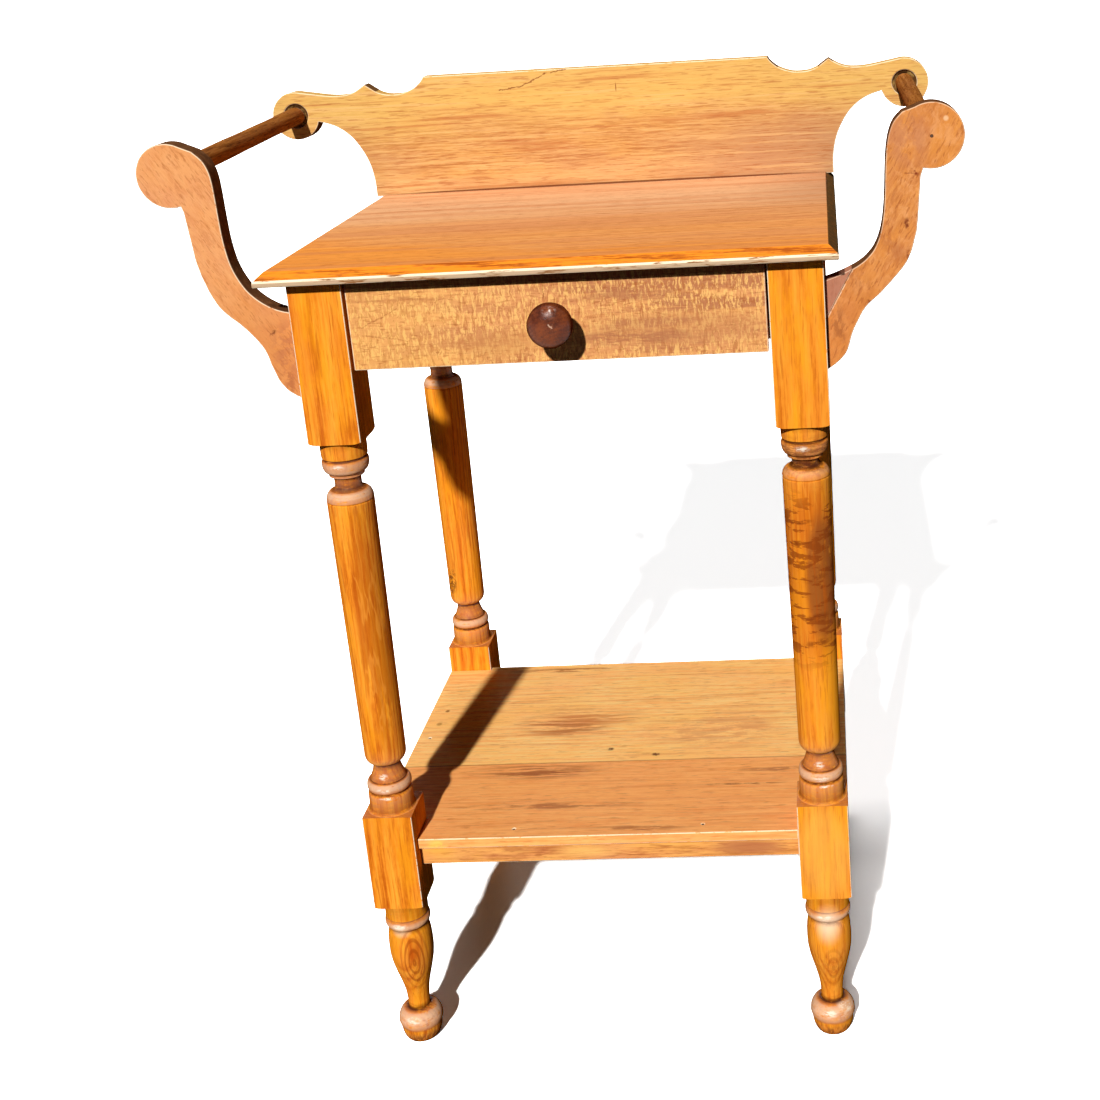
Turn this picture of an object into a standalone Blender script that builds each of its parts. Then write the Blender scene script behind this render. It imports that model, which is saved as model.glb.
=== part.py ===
"""A small washstand with turned legs, one drawer, a shelf, a scrolled back board and two towel bars.

Metres, +Z up. The origin is on the floor, under the middle of the overall box.
The front faces -Y and the viewer's right is +X.
"""

import math

import bmesh
import bpy
from mathutils import Matrix, Vector

# Driving sizes of the whole stand
stand_width = 0.4296
stand_depth = 0.3881
stand_height = 0.7381
shelf_height = 0.2143
top_lean = 0.0046

# Fits shared by all joints
seat_gap = 0.0003
mortise_end_gap = 0.0005
cut_overrun = 0.004
weld_distance = 0.000001
crisp_angle = math.radians(35)

# Turned legs
leg_square = 0.0445
leg_facets = 16
upper_block_length = 0.1371
lower_block_below_shelf = 0.0646
lower_block_above_shelf = 0.0285
shoulder_radius = 0.0262
shoulder_height = 0.0085
foot_flat_radius = 0.0125
ball_radius = 0.0203
ball_low_height = 0.0190
ball_high_height = 0.0175
ankle_radius = 0.0104
ankle_height = 0.0070
vase_radius = 0.0200
vase_rise = 0.0545
vase_crown = 0.0170
vase_neck_radius = 0.0168
foot_ring_radius = 0.0200
foot_ring_height = 0.0100
foot_ring_root = 0.0178
foot_drum_radius = 0.0197
lower_drum_radius = 0.0194
lower_drum_height = 0.0085
groove_width = 0.0020
groove_radius = 0.0176
bead_radius = 0.0197
bead_root = 0.0168
bead_height = 0.0106
lower_cove_radius = 0.0117
lower_cove_height = 0.0035
shaft_end_rounding = 0.0062
shaft_bottom_radius = 0.0183
shaft_top_radius = 0.0201
score_depth = 0.0006
score_height = 0.0018
score_below_shoulder = 0.0020
shaft_shoulder_height = 0.0065
shaft_shoulder_root = 0.0135
upper_cove_radius = 0.0117
upper_cove_height = 0.0095
fillet_radius = 0.0146
fillet_height = 0.0020
collar_bead_radius = 0.0196
collar_bead_root = 0.0160
collar_bead_height = 0.0145
collar_radius = 0.0193
collar_height = 0.0190
turning_steps = 3

# Top board
top_thickness = 0.0119
front_overhang = 0.0141
side_overhang = 0.0171
bevel_width = 0.0080
bevel_drop = 0.0072
nose_round = 0.0012

# Smooth outlines
curve_steps = 2

# Back board
board_thickness = 0.0190
board_height = 0.1156
board_inset = 0.0069
board_housing_depth = 0.0015
ear_reach = 0.0961
ear_radius = 0.0236
ear_height = 0.0839
ear_facets = 24

# Aprons, rails and the drawer's runners
apron_thickness = 0.0160
apron_setback = 0.0040
apron_drop = 0.0040
tenon_thickness = 0.0070
tenon_length = 0.0140
tenon_shoulder = 0.0100
top_rail_width = 0.0220
top_rail_thickness = 0.0120
top_rail_tenon_thickness = 0.0060
top_rail_tenon_shoulder = 0.0040
runner_thickness = 0.0090
runner_overlap = 0.0160
guide_height = 0.0150
guide_gap = 0.0010
stop_length = 0.0120
stop_width = 0.0150
stop_height = 0.0120
glue_block_leg = 0.0140
glue_block_length = 0.0400

# Drawer
drawer_front_drop = 0.0753
drawer_top_gap = 0.0017
drawer_side_gap = 0.0015
drawer_recess = 0.0030
front_thickness = 0.0180
front_lip = 0.0100
drawer_side_inset = 0.0028
side_thickness = 0.0100
side_top_gap = 0.0015
drawer_tail_gap = 0.0136
panel_thickness = 0.0060
panel_rise = 0.0060
groove_depth = 0.0045
back_thickness = 0.0100
back_top_drop = 0.0030

# Drawer knob and its screw
knob_radius = 0.0178
knob_base_radius = 0.0105
knob_neck_radius = 0.0080
knob_neck_reach = 0.0130
knob_flare_reach = 0.0140
knob_rim_reach = 0.0060
knob_dome_reach = 0.0090
knob_facets = 20
knob_steps = 5
screw_radius = 0.0022
screw_head_radius = 0.0045
screw_head_height = 0.0030
screw_length = 0.0400

# Shelf
shelf_thickness = 0.0097
shelf_front_setback = 0.0081
shelf_back_setback = 0.0388
shelf_rail_height = 0.0189
shelf_rail_thickness = 0.0160
shelf_rail_setback = 0.0060
shelf_tenon_shoulder = 0.0040
back_rail_setback = 0.0020

# Towel brackets and bars
bracket_thickness = 0.0190
bracket_setback = 0.0145
bracket_reach = 0.1133
bracket_height = 0.2099
bracket_drop = 0.0957
disc_radius = 0.0259
disc_facets = 28
bar_radius = 0.0088
bar_tenon_radius = 0.0065
bar_facets = 16
bar_front_seat = 0.0015
bar_front_socket = 0.0100
bar_back_socket = 0.0120
socket_mouth_radius = 0.0118
socket_mouth_depth = 0.0030

# Brads and dowels
brad_radius = 0.0011
bar_brad_length = 0.0180
shelf_brad_length = 0.0240
drawer_brad_length = 0.0240
brad_sink = 0.0005
brad_facets = 8
dowel_radius = 0.0035
dowel_facets = 10
bracket_dowel_in_leg = 0.0075
bracket_dowel_in_arm = 0.0160
board_dowel_in_top = 0.0080
board_dowel_in_board = 0.0200

# Shares of the towel bracket's reach and height, leg face to outer edge, foot to top
arm_outer_shares = (
    (0.0, 0.0), (0.10, 0.025), (0.16, 0.065), (0.22, 0.14), (0.27, 0.20), (0.34, 0.26), (0.46, 0.33),
    (0.57, 0.40), (0.635, 0.485), (0.67, 0.57), (0.682, 0.66), (0.695, 0.735),
)
arm_inner_shares = (
    (0.575, 0.965), (0.51, 0.93), (0.475, 0.89), (0.46, 0.845), (0.454, 0.78), (0.45, 0.70), (0.44, 0.605),
    (0.41, 0.515), (0.345, 0.438), (0.27, 0.39), (0.18, 0.355), (0.09, 0.335), (0.0, 0.325),
)
disc_start_turn_share = -105 / 360
disc_end_turn_share = 118 / 360
wedge_foot_share = 0.20
wedge_top_shares = (0.238, 0.377)
wedge_side_share = 0.245
bracket_dowel_shares = (0.115, 0.245)

# Shares of the ear's reach, from the top board's end, and of the back board's height
neck_shares = (
    (0.0, 0.0), (0.003, 0.12), (0.02, 0.225), (0.057, 0.33), (0.12, 0.435), (0.205, 0.53), (0.31, 0.60),
    (0.41, 0.64), (0.505, 0.663),
)
ear_start_turn_share = 197 / 360
ear_end_turn_share = 465 / 360
ear_top_shares = (
    (0.61, 0.912), (0.51, 0.898), (0.41, 0.885), (0.31, 0.878), (0.205, 0.882), (0.125, 0.899), (0.05, 0.93),
    (-0.007, 0.962),
)
scoop_shares = (
    (-0.007, 0.962), (-0.07, 0.926), (-0.135, 0.89), (-0.21, 0.869), (-0.285, 0.863), (-0.37, 0.866),
    (-0.45, 0.884), (-0.525, 0.912), (-0.58, 0.948), (-0.62, 0.985), (-0.63, 1.0),
)
board_dowel_shares = (-0.78, -0.26, 0.26, 0.78)
glue_block_share = 0.7
shelf_brad_share = 0.5
drawer_brad_share = 0.5

# Heights and places that follow from the driving sizes
top_underside = stand_height - top_thickness
lower_block_bottom = shelf_height - lower_block_below_shelf
lower_block_top = shelf_height + lower_block_above_shelf
upper_block_bottom = top_underside - upper_block_length
shelf_underside = shelf_height - shelf_thickness
half_leg = leg_square / 2
knob_length = knob_neck_reach + knob_flare_reach + knob_rim_reach + knob_dome_reach
knob_proud = knob_length + seat_gap - drawer_recess
front_y = (knob_proud - stand_depth) / 2
back_y = front_y + stand_depth
legs_x = top_lean / 2
top_x = -top_lean / 2
half_width = stand_width / 2
opening_half = half_width - leg_square
top_half = half_width + side_overhang
drawer_bottom_z = top_underside - drawer_front_drop
drawer_side_bottom_z = drawer_bottom_z + runner_thickness
drawer_front_y = front_y + drawer_recess
drawer_back_y = back_y - leg_square - drawer_tail_gap
kicker_bottom_z = top_underside - top_rail_thickness
bracket_bottom_z = top_underside - bracket_drop
board_front_y = back_y - board_inset - board_thickness
ear_x = top_half + ear_reach - ear_radius
ear_z = stand_height + ear_height
disc_x = half_width + bracket_reach - disc_radius
disc_z = bracket_bottom_z + bracket_height - disc_radius

# Wood and metal colours
leg_colour = (0.60, 0.26, 0.06, 1.0)
board_colour = (0.66, 0.31, 0.11, 1.0)
pale_colour = (0.70, 0.40, 0.17, 1.0)
dark_wood_colour = (0.14, 0.05, 0.03, 1.0)
raw_wood_colour = (0.55, 0.38, 0.22, 1.0)
steel_colour = (0.30, 0.28, 0.26, 1.0)


def make_material(name, colour, roughness, metallic=0.0):
    material = bpy.data.materials.new(name)
    material.use_nodes = True
    shader = material.node_tree.nodes["Principled BSDF"]
    shader.inputs["Base Color"].default_value = colour
    shader.inputs["Roughness"].default_value = roughness
    shader.inputs["Metallic"].default_value = metallic
    material.diffuse_color = colour
    return material


def add_object(name, bm):
    """An object that holds a mesh, with its faces turned outward."""
    bmesh.ops.recalc_face_normals(bm, faces=bm.faces)
    mesh = bpy.data.meshes.new(name)
    bm.to_mesh(mesh)
    bm.free()
    piece = bpy.data.objects.new(name, mesh)
    bpy.context.scene.collection.objects.link(piece)
    return piece


def finish_mesh(mesh, material):
    """Smooth shading with crisp edges, and one material."""
    mesh.shade_smooth()
    mesh.set_sharp_from_angle(angle=crisp_angle)
    mesh.materials.clear()
    mesh.materials.append(material)


def make_object(name, bm, colour, roughness=0.45, metallic=0.0):
    piece = add_object(name, bm)
    finish_mesh(piece.data, make_material(name, colour, roughness, metallic))
    return piece


def box_mesh(low, high):
    """A box between two corners."""
    bm = bmesh.new()
    size = Vector(high) - Vector(low)
    middle = (Vector(high) + Vector(low)) / 2
    place = Matrix.Translation(middle) @ Matrix.Diagonal((size.x, size.y, size.z, 1))
    bmesh.ops.create_cube(bm, size=1, matrix=place)
    return bm


def prism_mesh(outline, low, high, axis="Y"):
    """An outline in XZ pulled along Y, or in XY pulled along Z."""
    bm = bmesh.new()
    if axis == "Y":
        corners = [bm.verts.new((x, low, z)) for x, z in outline]
        pull = Vector((0, high - low, 0))
    else:
        corners = [bm.verts.new((x, y, low)) for x, y in outline]
        pull = Vector((0, 0, high - low))
    face = bm.faces.new(corners)
    grown = bmesh.ops.extrude_face_region(bm, geom=[face])
    moved = [item for item in grown["geom"] if isinstance(item, bmesh.types.BMVert)]
    bmesh.ops.translate(bm, verts=moved, vec=pull)
    return bm


def turned_mesh(profile, facets):
    """A profile of (radius, height) points, from axis to axis, spun about Z."""
    bm = bmesh.new()
    points = [bm.verts.new((radius, 0, height)) for radius, height in profile]
    edges = [bm.edges.new(pair) for pair in zip(points, points[1:])]
    bmesh.ops.spin(
        bm, geom=points + edges, cent=(0, 0, 0), axis=(0, 0, 1), angle=math.tau, steps=facets, use_merge=True
    )
    bmesh.ops.remove_doubles(bm, verts=bm.verts, dist=weld_distance)
    return bm


def aim(bm, start, direction):
    """Turns a shape built up +Z from the origin to stand at start and point along direction."""
    turn = Vector((0, 0, 1)).rotation_difference(Vector(direction)).to_matrix().to_4x4()
    bmesh.ops.transform(bm, matrix=Matrix.Translation(start) @ turn, verts=bm.verts)
    return bm


def rod_mesh(start, direction, radius, length, facets):
    return aim(turned_mesh([(0, 0), (radius, 0), (radius, length), (0, length)], facets), start, direction)


def shape(piece, tools, operation="DIFFERENCE"):
    """Cuts, joins or crosses a piece with tool meshes, and settles the result in its mesh."""
    helpers = []
    for tool in tools:
        helper = add_object(piece.name + "_tool", tool)
        helper.display_type = "WIRE"
        helper.hide_render = True
        helpers.append(helper)
        modifier = piece.modifiers.new("shape", "BOOLEAN")
        modifier.operation = operation
        modifier.object = helper
    bpy.context.view_layer.update()
    graph = bpy.context.evaluated_depsgraph_get()
    settled = bpy.data.meshes.new_from_object(piece.evaluated_get(graph))
    bm = bmesh.new()
    bm.from_mesh(settled)
    bmesh.ops.remove_doubles(bm, verts=bm.verts, dist=weld_distance)
    bmesh.ops.dissolve_degenerate(bm, edges=bm.edges, dist=weld_distance)
    bm.to_mesh(settled)
    bm.free()
    unshaped = piece.data
    piece.modifiers.clear()
    piece.data = settled
    if unshaped.materials:
        finish_mesh(settled, unshaped.materials[0])
    bpy.data.meshes.remove(unshaped)
    for helper in helpers:
        bpy.data.meshes.remove(helper.data)
    return piece


def grow(low, high, gap):
    """A tool box that clears the box between two corners by a gap."""
    return box_mesh([value - gap for value in low], [value + gap for value in high])


def smooth_points(points, steps=curve_steps):
    """Points on a smooth curve through the given ones, both ends included."""
    ends = [points[0]] + list(points) + [points[-1]]
    curve = []
    for before, start, end, after in zip(ends, ends[1:], ends[2:], ends[3:]):
        for step in range(steps):
            t = step / steps
            pair = []
            for p0, p1, p2, p3 in zip(before, start, end, after):
                slope_in = (p2 - p0) / 2
                slope_out = (p3 - p1) / 2
                rise = p2 - p1
                cubic = slope_in + slope_out - 2 * rise
                square = 3 * rise - 2 * slope_in - slope_out
                pair.append(p1 + slope_in * t + square * t * t + cubic * t ** 3)
            curve.append(tuple(pair))
    curve.append(tuple(points[-1]))
    return curve


def arc_points(centre, radius, start_share, end_share, facets):
    """Points on a circle between two shares of a turn."""
    count = max(2, round(abs(end_share - start_share) * facets))
    turns = [start_share + (end_share - start_share) * step / count for step in range(count + 1)]
    return [
        (centre[0] + radius * math.cos(math.tau * turn), centre[1] + radius * math.sin(math.tau * turn))
        for turn in turns
    ]


class Turning:
    """The outline of a turned piece, followed upward from its lower end."""

    def __init__(self, height=0.0):
        self.points = [(0.0, height)]

    @property
    def radius(self):
        return self.points[-1][0]

    @property
    def height(self):
        return self.points[-1][1]

    def step(self, radius):
        self.points.append((radius, self.height))

    def rise_to(self, height, radius=None):
        self.points.append((self.radius if radius is None else radius, height))

    def rise(self, amount, radius=None):
        self.rise_to(self.height + amount, radius)

    def swell(self, amount, radius, steps=turning_steps):
        """A quarter round that leaves level and ends upright at its fullest."""
        start_radius, start_height = self.points[-1]
        for step in range(1, steps + 1):
            turn = math.pi / 2 * step / steps
            self.points.append(
                (
                    start_radius + (radius - start_radius) * math.sin(turn),
                    start_height + amount * (1 - math.cos(turn)),
                )
            )

    def close_in(self, amount, radius, steps=turning_steps):
        """A quarter round that leaves upright and ends level at its root."""
        start_radius, start_height = self.points[-1]
        for step in range(1, steps + 1):
            turn = math.pi / 2 * step / steps
            self.points.append(
                (
                    start_radius + (radius - start_radius) * (1 - math.cos(turn)),
                    start_height + amount * math.sin(turn),
                )
            )

    def bead(self, amount, root, radius):
        self.step(root)
        self.swell(amount / 2, radius, 2)
        self.close_in(amount / 2, root, 2)

    def sweep(self, amount, radius, steps):
        """An S curve that is upright at both ends."""
        start_radius, start_height = self.points[-1]
        for step in range(1, steps + 1):
            share = step / steps
            blend = (1 - math.cos(math.pi * share)) / 2
            swept_radius = start_radius + (radius - start_radius) * blend
            self.points.append((swept_radius, start_height + amount * share))

    def close(self):
        self.step(0.0)
        return self.points


def leg_turning():
    leg = Turning()
    leg.step(foot_flat_radius)
    leg.swell(ball_low_height, ball_radius)
    leg.close_in(ball_high_height, ankle_radius)
    leg.rise(ankle_height)
    leg.sweep(vase_rise, vase_radius, 5)
    leg.close_in(vase_crown, vase_neck_radius)
    leg.bead(foot_ring_height, foot_ring_root, foot_ring_radius)
    leg.step(foot_drum_radius)
    leg.rise_to((lower_block_bottom + lower_block_top) / 2)
    leg.step(lower_drum_radius)
    leg.rise_to(lower_block_top + lower_drum_height)
    leg.step(groove_radius)
    leg.rise(groove_width)
    leg.bead(bead_height, bead_root, bead_radius)
    leg.bead(bead_height, bead_root, bead_radius)
    leg.step(lower_cove_radius)
    leg.rise(lower_cove_height)
    leg.swell(shaft_end_rounding, shaft_bottom_radius)
    collar_bottom = upper_block_bottom - collar_height
    shoulder_bottom = (
        collar_bottom - groove_width - collar_bead_height - fillet_height - upper_cove_height
        - shaft_shoulder_height
    )
    leg.rise_to(shoulder_bottom - score_below_shoulder - score_height, shaft_top_radius)
    leg.rise(score_height / 2, shaft_top_radius - score_depth)
    leg.rise(score_height / 2, shaft_top_radius)
    leg.rise_to(shoulder_bottom)
    leg.close_in(shaft_shoulder_height, shaft_shoulder_root)
    leg.rise(upper_cove_height / 2, upper_cove_radius)
    leg.rise(upper_cove_height / 2, fillet_radius)
    leg.rise(fillet_height)
    leg.bead(collar_bead_height, collar_bead_root, collar_bead_radius)
    leg.step(groove_radius)
    leg.rise(groove_width)
    leg.step(collar_radius)
    leg.rise(collar_height)
    leg.rise(shoulder_height)
    return leg.close()


def block_mesh(bottom, top, round_top):
    """A square block whose corners are turned away at the ends that meet turned work."""
    corner_radius = half_leg * math.sqrt(2) + cut_overrun
    envelope = Turning(bottom)
    envelope.step(shoulder_radius)
    envelope.swell(shoulder_height, corner_radius)
    if round_top:
        envelope.rise_to(top - shoulder_height)
        envelope.close_in(shoulder_height, shoulder_radius)
    else:
        envelope.rise_to(top)
    block = add_object("block", turned_mesh(envelope.close(), leg_facets))
    square = box_mesh((-half_leg, -half_leg, bottom - cut_overrun), (half_leg, half_leg, top + cut_overrun))
    shape(block, [square], "INTERSECT")
    bm = bmesh.new()
    bm.from_mesh(block.data)
    bpy.data.meshes.remove(block.data)
    return bm


# Each leg is named by its side, -1 left or 1 right, and its end, -1 front or 1 back
leg_places = {
    "leg_front_left": (-1, -1),
    "leg_front_right": (1, -1),
    "leg_back_left": (-1, 1),
    "leg_back_right": (1, 1),
}


def leg_centre(side, end):
    x = legs_x + side * (half_width - half_leg)
    y = front_y + half_leg if end < 0 else back_y - half_leg
    return Vector((x, y, 0))


def make_legs():
    pattern = add_object("leg_pattern", turned_mesh(leg_turning(), leg_facets))
    shape(
        pattern,
        [
            block_mesh(lower_block_bottom, lower_block_top, True),
            block_mesh(upper_block_bottom, top_underside - seat_gap, False),
        ],
        "UNION",
    )
    legs = {}
    for name, (side, end) in leg_places.items():
        copy = bmesh.new()
        copy.from_mesh(pattern.data)
        leg = make_object(name, copy, leg_colour, 0.35)
        leg.location = leg_centre(side, end)
        legs[name] = leg
    bpy.data.meshes.remove(pattern.data)
    return legs


def tenoned_rail(name, low, high, along, tenon_low, tenon_high, colour):
    """A rail between two legs with a tenon on each end; along is 0 for X or 1 for Y."""
    rail = make_object(name, box_mesh(low, high), colour)
    tenons = []
    sockets = []
    for outward, face in ((-1, low[along]), (1, high[along])):
        root = face - outward * cut_overrun
        tip = face + outward * tenon_length
        corners = []
        for start, end in ((root, tip), (face - outward * seat_gap, tip + outward * mortise_end_gap)):
            first = list(tenon_low)
            second = list(tenon_high)
            first[along] = min(start, end)
            second[along] = max(start, end)
            corners.append((first, second))
        tenons.append(box_mesh(*corners[0]))
        sockets.append(corners[1])
    shape(rail, tenons, "UNION")
    return rail, sockets


def cut_sockets(legs, names, sockets):
    for name, (low, high) in zip(names, sockets):
        shape(legs[name], [grow(low, high, seat_gap)])


def make_aprons(legs):
    low_z = drawer_bottom_z - apron_drop
    high_z = top_underside - seat_gap
    tenon_low_z = low_z + tenon_shoulder
    tenon_high_z = high_z - tenon_shoulder
    leg_back_face = front_y + leg_square
    leg_front_face = back_y - leg_square
    for side, word in ((-1, "left"), (1, "right")):
        middle = legs_x + side * (half_width - apron_setback - apron_thickness / 2)
        _, sockets = tenoned_rail(
            "apron_" + word,
            (middle - apron_thickness / 2, leg_back_face + seat_gap, low_z),
            (middle + apron_thickness / 2, leg_front_face - seat_gap, high_z),
            1,
            (middle - tenon_thickness / 2, 0, tenon_low_z),
            (middle + tenon_thickness / 2, 0, tenon_high_z),
            board_colour,
        )
        cut_sockets(legs, ("leg_front_" + word, "leg_back_" + word), sockets)
    middle = back_y - apron_setback - apron_thickness / 2
    _, sockets = tenoned_rail(
        "apron_back",
        (legs_x - opening_half + seat_gap, middle - apron_thickness / 2, low_z),
        (legs_x + opening_half - seat_gap, middle + apron_thickness / 2, high_z),
        0,
        (0, middle - tenon_thickness / 2, tenon_low_z),
        (0, middle + tenon_thickness / 2, tenon_high_z),
        board_colour,
    )
    cut_sockets(legs, ("leg_back_left", "leg_back_right"), sockets)


def make_top_rail(legs):
    back = front_y + leg_square
    front = back - top_rail_width
    high_z = top_underside - seat_gap
    low_z = kicker_bottom_z
    middle_z = (low_z + high_z) / 2
    _, sockets = tenoned_rail(
        "top_rail_front",
        (legs_x - opening_half + seat_gap, front, low_z),
        (legs_x + opening_half - seat_gap, back, high_z),
        0,
        (0, front + top_rail_tenon_shoulder, middle_z - top_rail_tenon_thickness / 2),
        (0, back - top_rail_tenon_shoulder, middle_z + top_rail_tenon_thickness / 2),
        board_colour,
    )
    cut_sockets(legs, ("leg_front_left", "leg_front_right"), sockets)


def make_runners():
    """Runners carry the drawer's sides, guides steer them, kickers hold them down, stops end the travel."""
    start_y = front_y + leg_square + seat_gap
    end_y = back_y - leg_square - seat_gap
    wall = half_width - apron_setback - apron_thickness - seat_gap
    side_face = opening_half - drawer_side_gap - drawer_side_inset
    inner = side_face - side_thickness - runner_overlap
    guide = side_face + guide_gap
    runner_top = drawer_side_bottom_z - seat_gap

    def strip(name, side, inner_x, outer_x, low_y, high_y, low_z, high_z):
        xs = sorted((legs_x + side * inner_x, legs_x + side * outer_x))
        make_object(name, box_mesh((xs[0], low_y, low_z), (xs[1], high_y, high_z)), raw_wood_colour, 0.7)

    for side, word in ((-1, "left"), (1, "right")):
        strip("drawer_runner_" + word, side, inner, wall, start_y, end_y, drawer_bottom_z, runner_top)
        strip(
            "drawer_guide_" + word, side, guide, wall, start_y, end_y,
            runner_top + seat_gap, runner_top + guide_height,
        )
        strip(
            "drawer_kicker_" + word, side, inner, wall, start_y, end_y,
            kicker_bottom_z, top_underside - seat_gap,
        )
        stop_y = drawer_back_y + seat_gap
        strip(
            "drawer_stop_" + word, side, side_face - stop_width, side_face, stop_y, stop_y + stop_length,
            runner_top + seat_gap, runner_top + stop_height,
        )


def make_glue_blocks():
    """Three-cornered blocks glued into the corner between the back apron and the top."""
    wall_y = back_y - apron_setback - apron_thickness - seat_gap
    ceiling = top_underside - seat_gap
    for place, word in ((-1, "left"), (0, "middle"), (1, "right")):
        middle = legs_x + place * glue_block_share * opening_half
        bm = bmesh.new()
        corners = [
            bm.verts.new((middle - glue_block_length / 2, wall_y, ceiling)),
            bm.verts.new((middle - glue_block_length / 2, wall_y - glue_block_leg, ceiling)),
            bm.verts.new((middle - glue_block_length / 2, wall_y, ceiling - glue_block_leg)),
        ]
        face = bm.faces.new(corners)
        grown = bmesh.ops.extrude_face_region(bm, geom=[face])
        moved = [item for item in grown["geom"] if isinstance(item, bmesh.types.BMVert)]
        bmesh.ops.translate(bm, verts=moved, vec=(glue_block_length, 0, 0))
        make_object("glue_block_" + word, bm, raw_wood_colour, 0.7)


def make_top():
    """The top board, bevelled and nosed along its front and ends, square at the back."""
    front = front_y - front_overhang
    levels = (
        (top_underside, nose_round),
        (top_underside + nose_round, 0),
        (stand_height - bevel_drop, 0),
        (stand_height, bevel_width),
    )
    bm = bmesh.new()
    loops = []
    for height, inset in levels:
        left = top_x - top_half + inset
        right = top_x + top_half - inset
        loops.append(
            [
                bm.verts.new((left, front + inset, height)),
                bm.verts.new((right, front + inset, height)),
                bm.verts.new((right, back_y, height)),
                bm.verts.new((left, back_y, height)),
            ]
        )
    for lower, upper in zip(loops, loops[1:]):
        for index in range(4):
            following = (index + 1) % 4
            bm.faces.new((lower[index], lower[following], upper[following], upper[index]))
    bm.faces.new(loops[0][::-1])
    bm.faces.new(loops[-1])
    return make_object("top_board", bm, board_colour, 0.4)


def house_board(top):
    """The shallow housing across the top board in which the back board stands."""
    low = (top_x - top_half - cut_overrun, board_front_y - seat_gap, stand_height - board_housing_depth)
    high = (
        top_x + top_half + cut_overrun,
        board_front_y + board_thickness + seat_gap,
        stand_height + cut_overrun,
    )
    shape(top, [box_mesh(low, high)])


def board_outline():
    """The back board's outline in XZ, left and right halves alike."""
    foot = [(top_half, stand_height - board_housing_depth + seat_gap)]

    def place(shares):
        return [(top_half + x * ear_reach, stand_height + z * board_height) for x, z in shares]

    neck = smooth_points(place(neck_shares))
    ear = arc_points((ear_x, ear_z), ear_radius, ear_start_turn_share, ear_end_turn_share, ear_facets)
    crest = smooth_points(place(ear_top_shares))
    scoop = smooth_points(place(scoop_shares))
    right_half = foot + neck + ear + crest + scoop[1:]
    left_half = [(-x, z) for x, z in reversed(right_half)]
    return [(top_x + x, z) for x, z in right_half + left_half]


def make_back_board():
    bm = prism_mesh(board_outline(), board_front_y, board_front_y + board_thickness)
    return make_object("back_board", bm, board_colour, 0.4)


def arm_outline(side):
    """A towel bracket's outline in XZ, foot on the leg's outer face, ending in a disc."""

    def place(shares):
        return [(half_width + x * bracket_reach, bracket_bottom_z + z * bracket_height) for x, z in shares]

    foot = half_width + seat_gap
    outer = smooth_points(place(arm_outer_shares))
    disc = arc_points((disc_x, disc_z), disc_radius, disc_start_turn_share, disc_end_turn_share, disc_facets)
    inner = smooth_points(place(arm_inner_shares))
    points = [(max(x, foot), z) for x, z in outer + disc + inner]
    return [(legs_x + side * x, z) for x, z in points]


def make_brackets():
    """Both towel brackets, and the corner piece that was glued into the right one."""
    low_y = front_y + bracket_setback
    high_y = low_y + bracket_thickness
    brackets = {}
    for side, word in ((-1, "left"), (1, "right")):
        name = "towel_bracket_" + word
        brackets[name] = make_object(name, prism_mesh(arm_outline(side), low_y, high_y), board_colour, 0.4)

    def wedge_tool(shift):
        run = wedge_top_shares[0] * bracket_reach
        slope = (wedge_top_shares[1] - wedge_foot_share) * bracket_height / run
        inner_x = half_width - cut_overrun
        outer_x = half_width + wedge_side_share * bracket_reach

        def line_z(x):
            return bracket_bottom_z + wedge_foot_share * bracket_height + slope * (x - half_width) + shift

        ceiling = bracket_bottom_z + bracket_height
        sloped_edge = [(inner_x, line_z(inner_x)), (outer_x, line_z(outer_x))]
        outline = sloped_edge + [(outer_x, ceiling), (inner_x, ceiling)]
        tool_outline = [(legs_x + x, z) for x, z in outline]
        return prism_mesh(tool_outline, low_y - cut_overrun, high_y + cut_overrun)

    corner = make_object("bracket_corner_right", prism_mesh(arm_outline(1), low_y, high_y), board_colour, 0.4)
    shape(corner, [wedge_tool(2 * seat_gap)], "INTERSECT")
    shape(brackets["towel_bracket_right"], [wedge_tool(0)])
    brackets["bracket_corner_right"] = corner
    return brackets


def bar_line(side):
    """Where a towel bar starts on its bracket, where it ends on its ear, and its direction."""
    start = Vector((legs_x + side * disc_x, front_y + bracket_setback + bracket_thickness, disc_z))
    end = Vector((top_x + side * ear_x, board_front_y, ear_z))
    return start, end, (end - start).normalized()


def make_bars(brackets, board):
    """Both towel bars, tenoned into their brackets and into the back board's ears."""
    bars = {}
    for side, word in ((-1, "left"), (1, "right")):
        start, end, direction = bar_line(side)
        length = (end - start).length
        body = Turning(-bar_front_socket)
        body.step(bar_tenon_radius)
        body.rise_to(seat_gap - bar_front_seat)
        body.step(bar_radius)
        body.rise_to(length + socket_mouth_depth - seat_gap)
        body.step(bar_tenon_radius)
        body.rise_to(length + bar_back_socket)
        bar = aim(turned_mesh(body.close(), bar_facets), start, direction)
        bars[word] = make_object("towel_bar_" + word, bar, board_colour, 0.4)

        front_hole = Turning(-bar_front_socket - mortise_end_gap)
        front_hole.step(bar_tenon_radius + seat_gap)
        front_hole.rise_to(-bar_front_seat)
        front_hole.step(bar_radius + seat_gap)
        front_hole.rise_to(cut_overrun)
        socket = aim(turned_mesh(front_hole.close(), bar_facets), start, direction)
        shape(brackets["towel_bracket_" + word], [socket])
        back_hole = Turning(-cut_overrun)
        back_hole.step(socket_mouth_radius)
        back_hole.rise_to(socket_mouth_depth)
        back_hole.step(bar_tenon_radius + seat_gap)
        back_hole.rise_to(bar_back_socket + mortise_end_gap)
        socket = aim(turned_mesh(back_hole.close(), bar_facets), end, direction)
        shape(board, [socket])
    return bars


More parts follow.
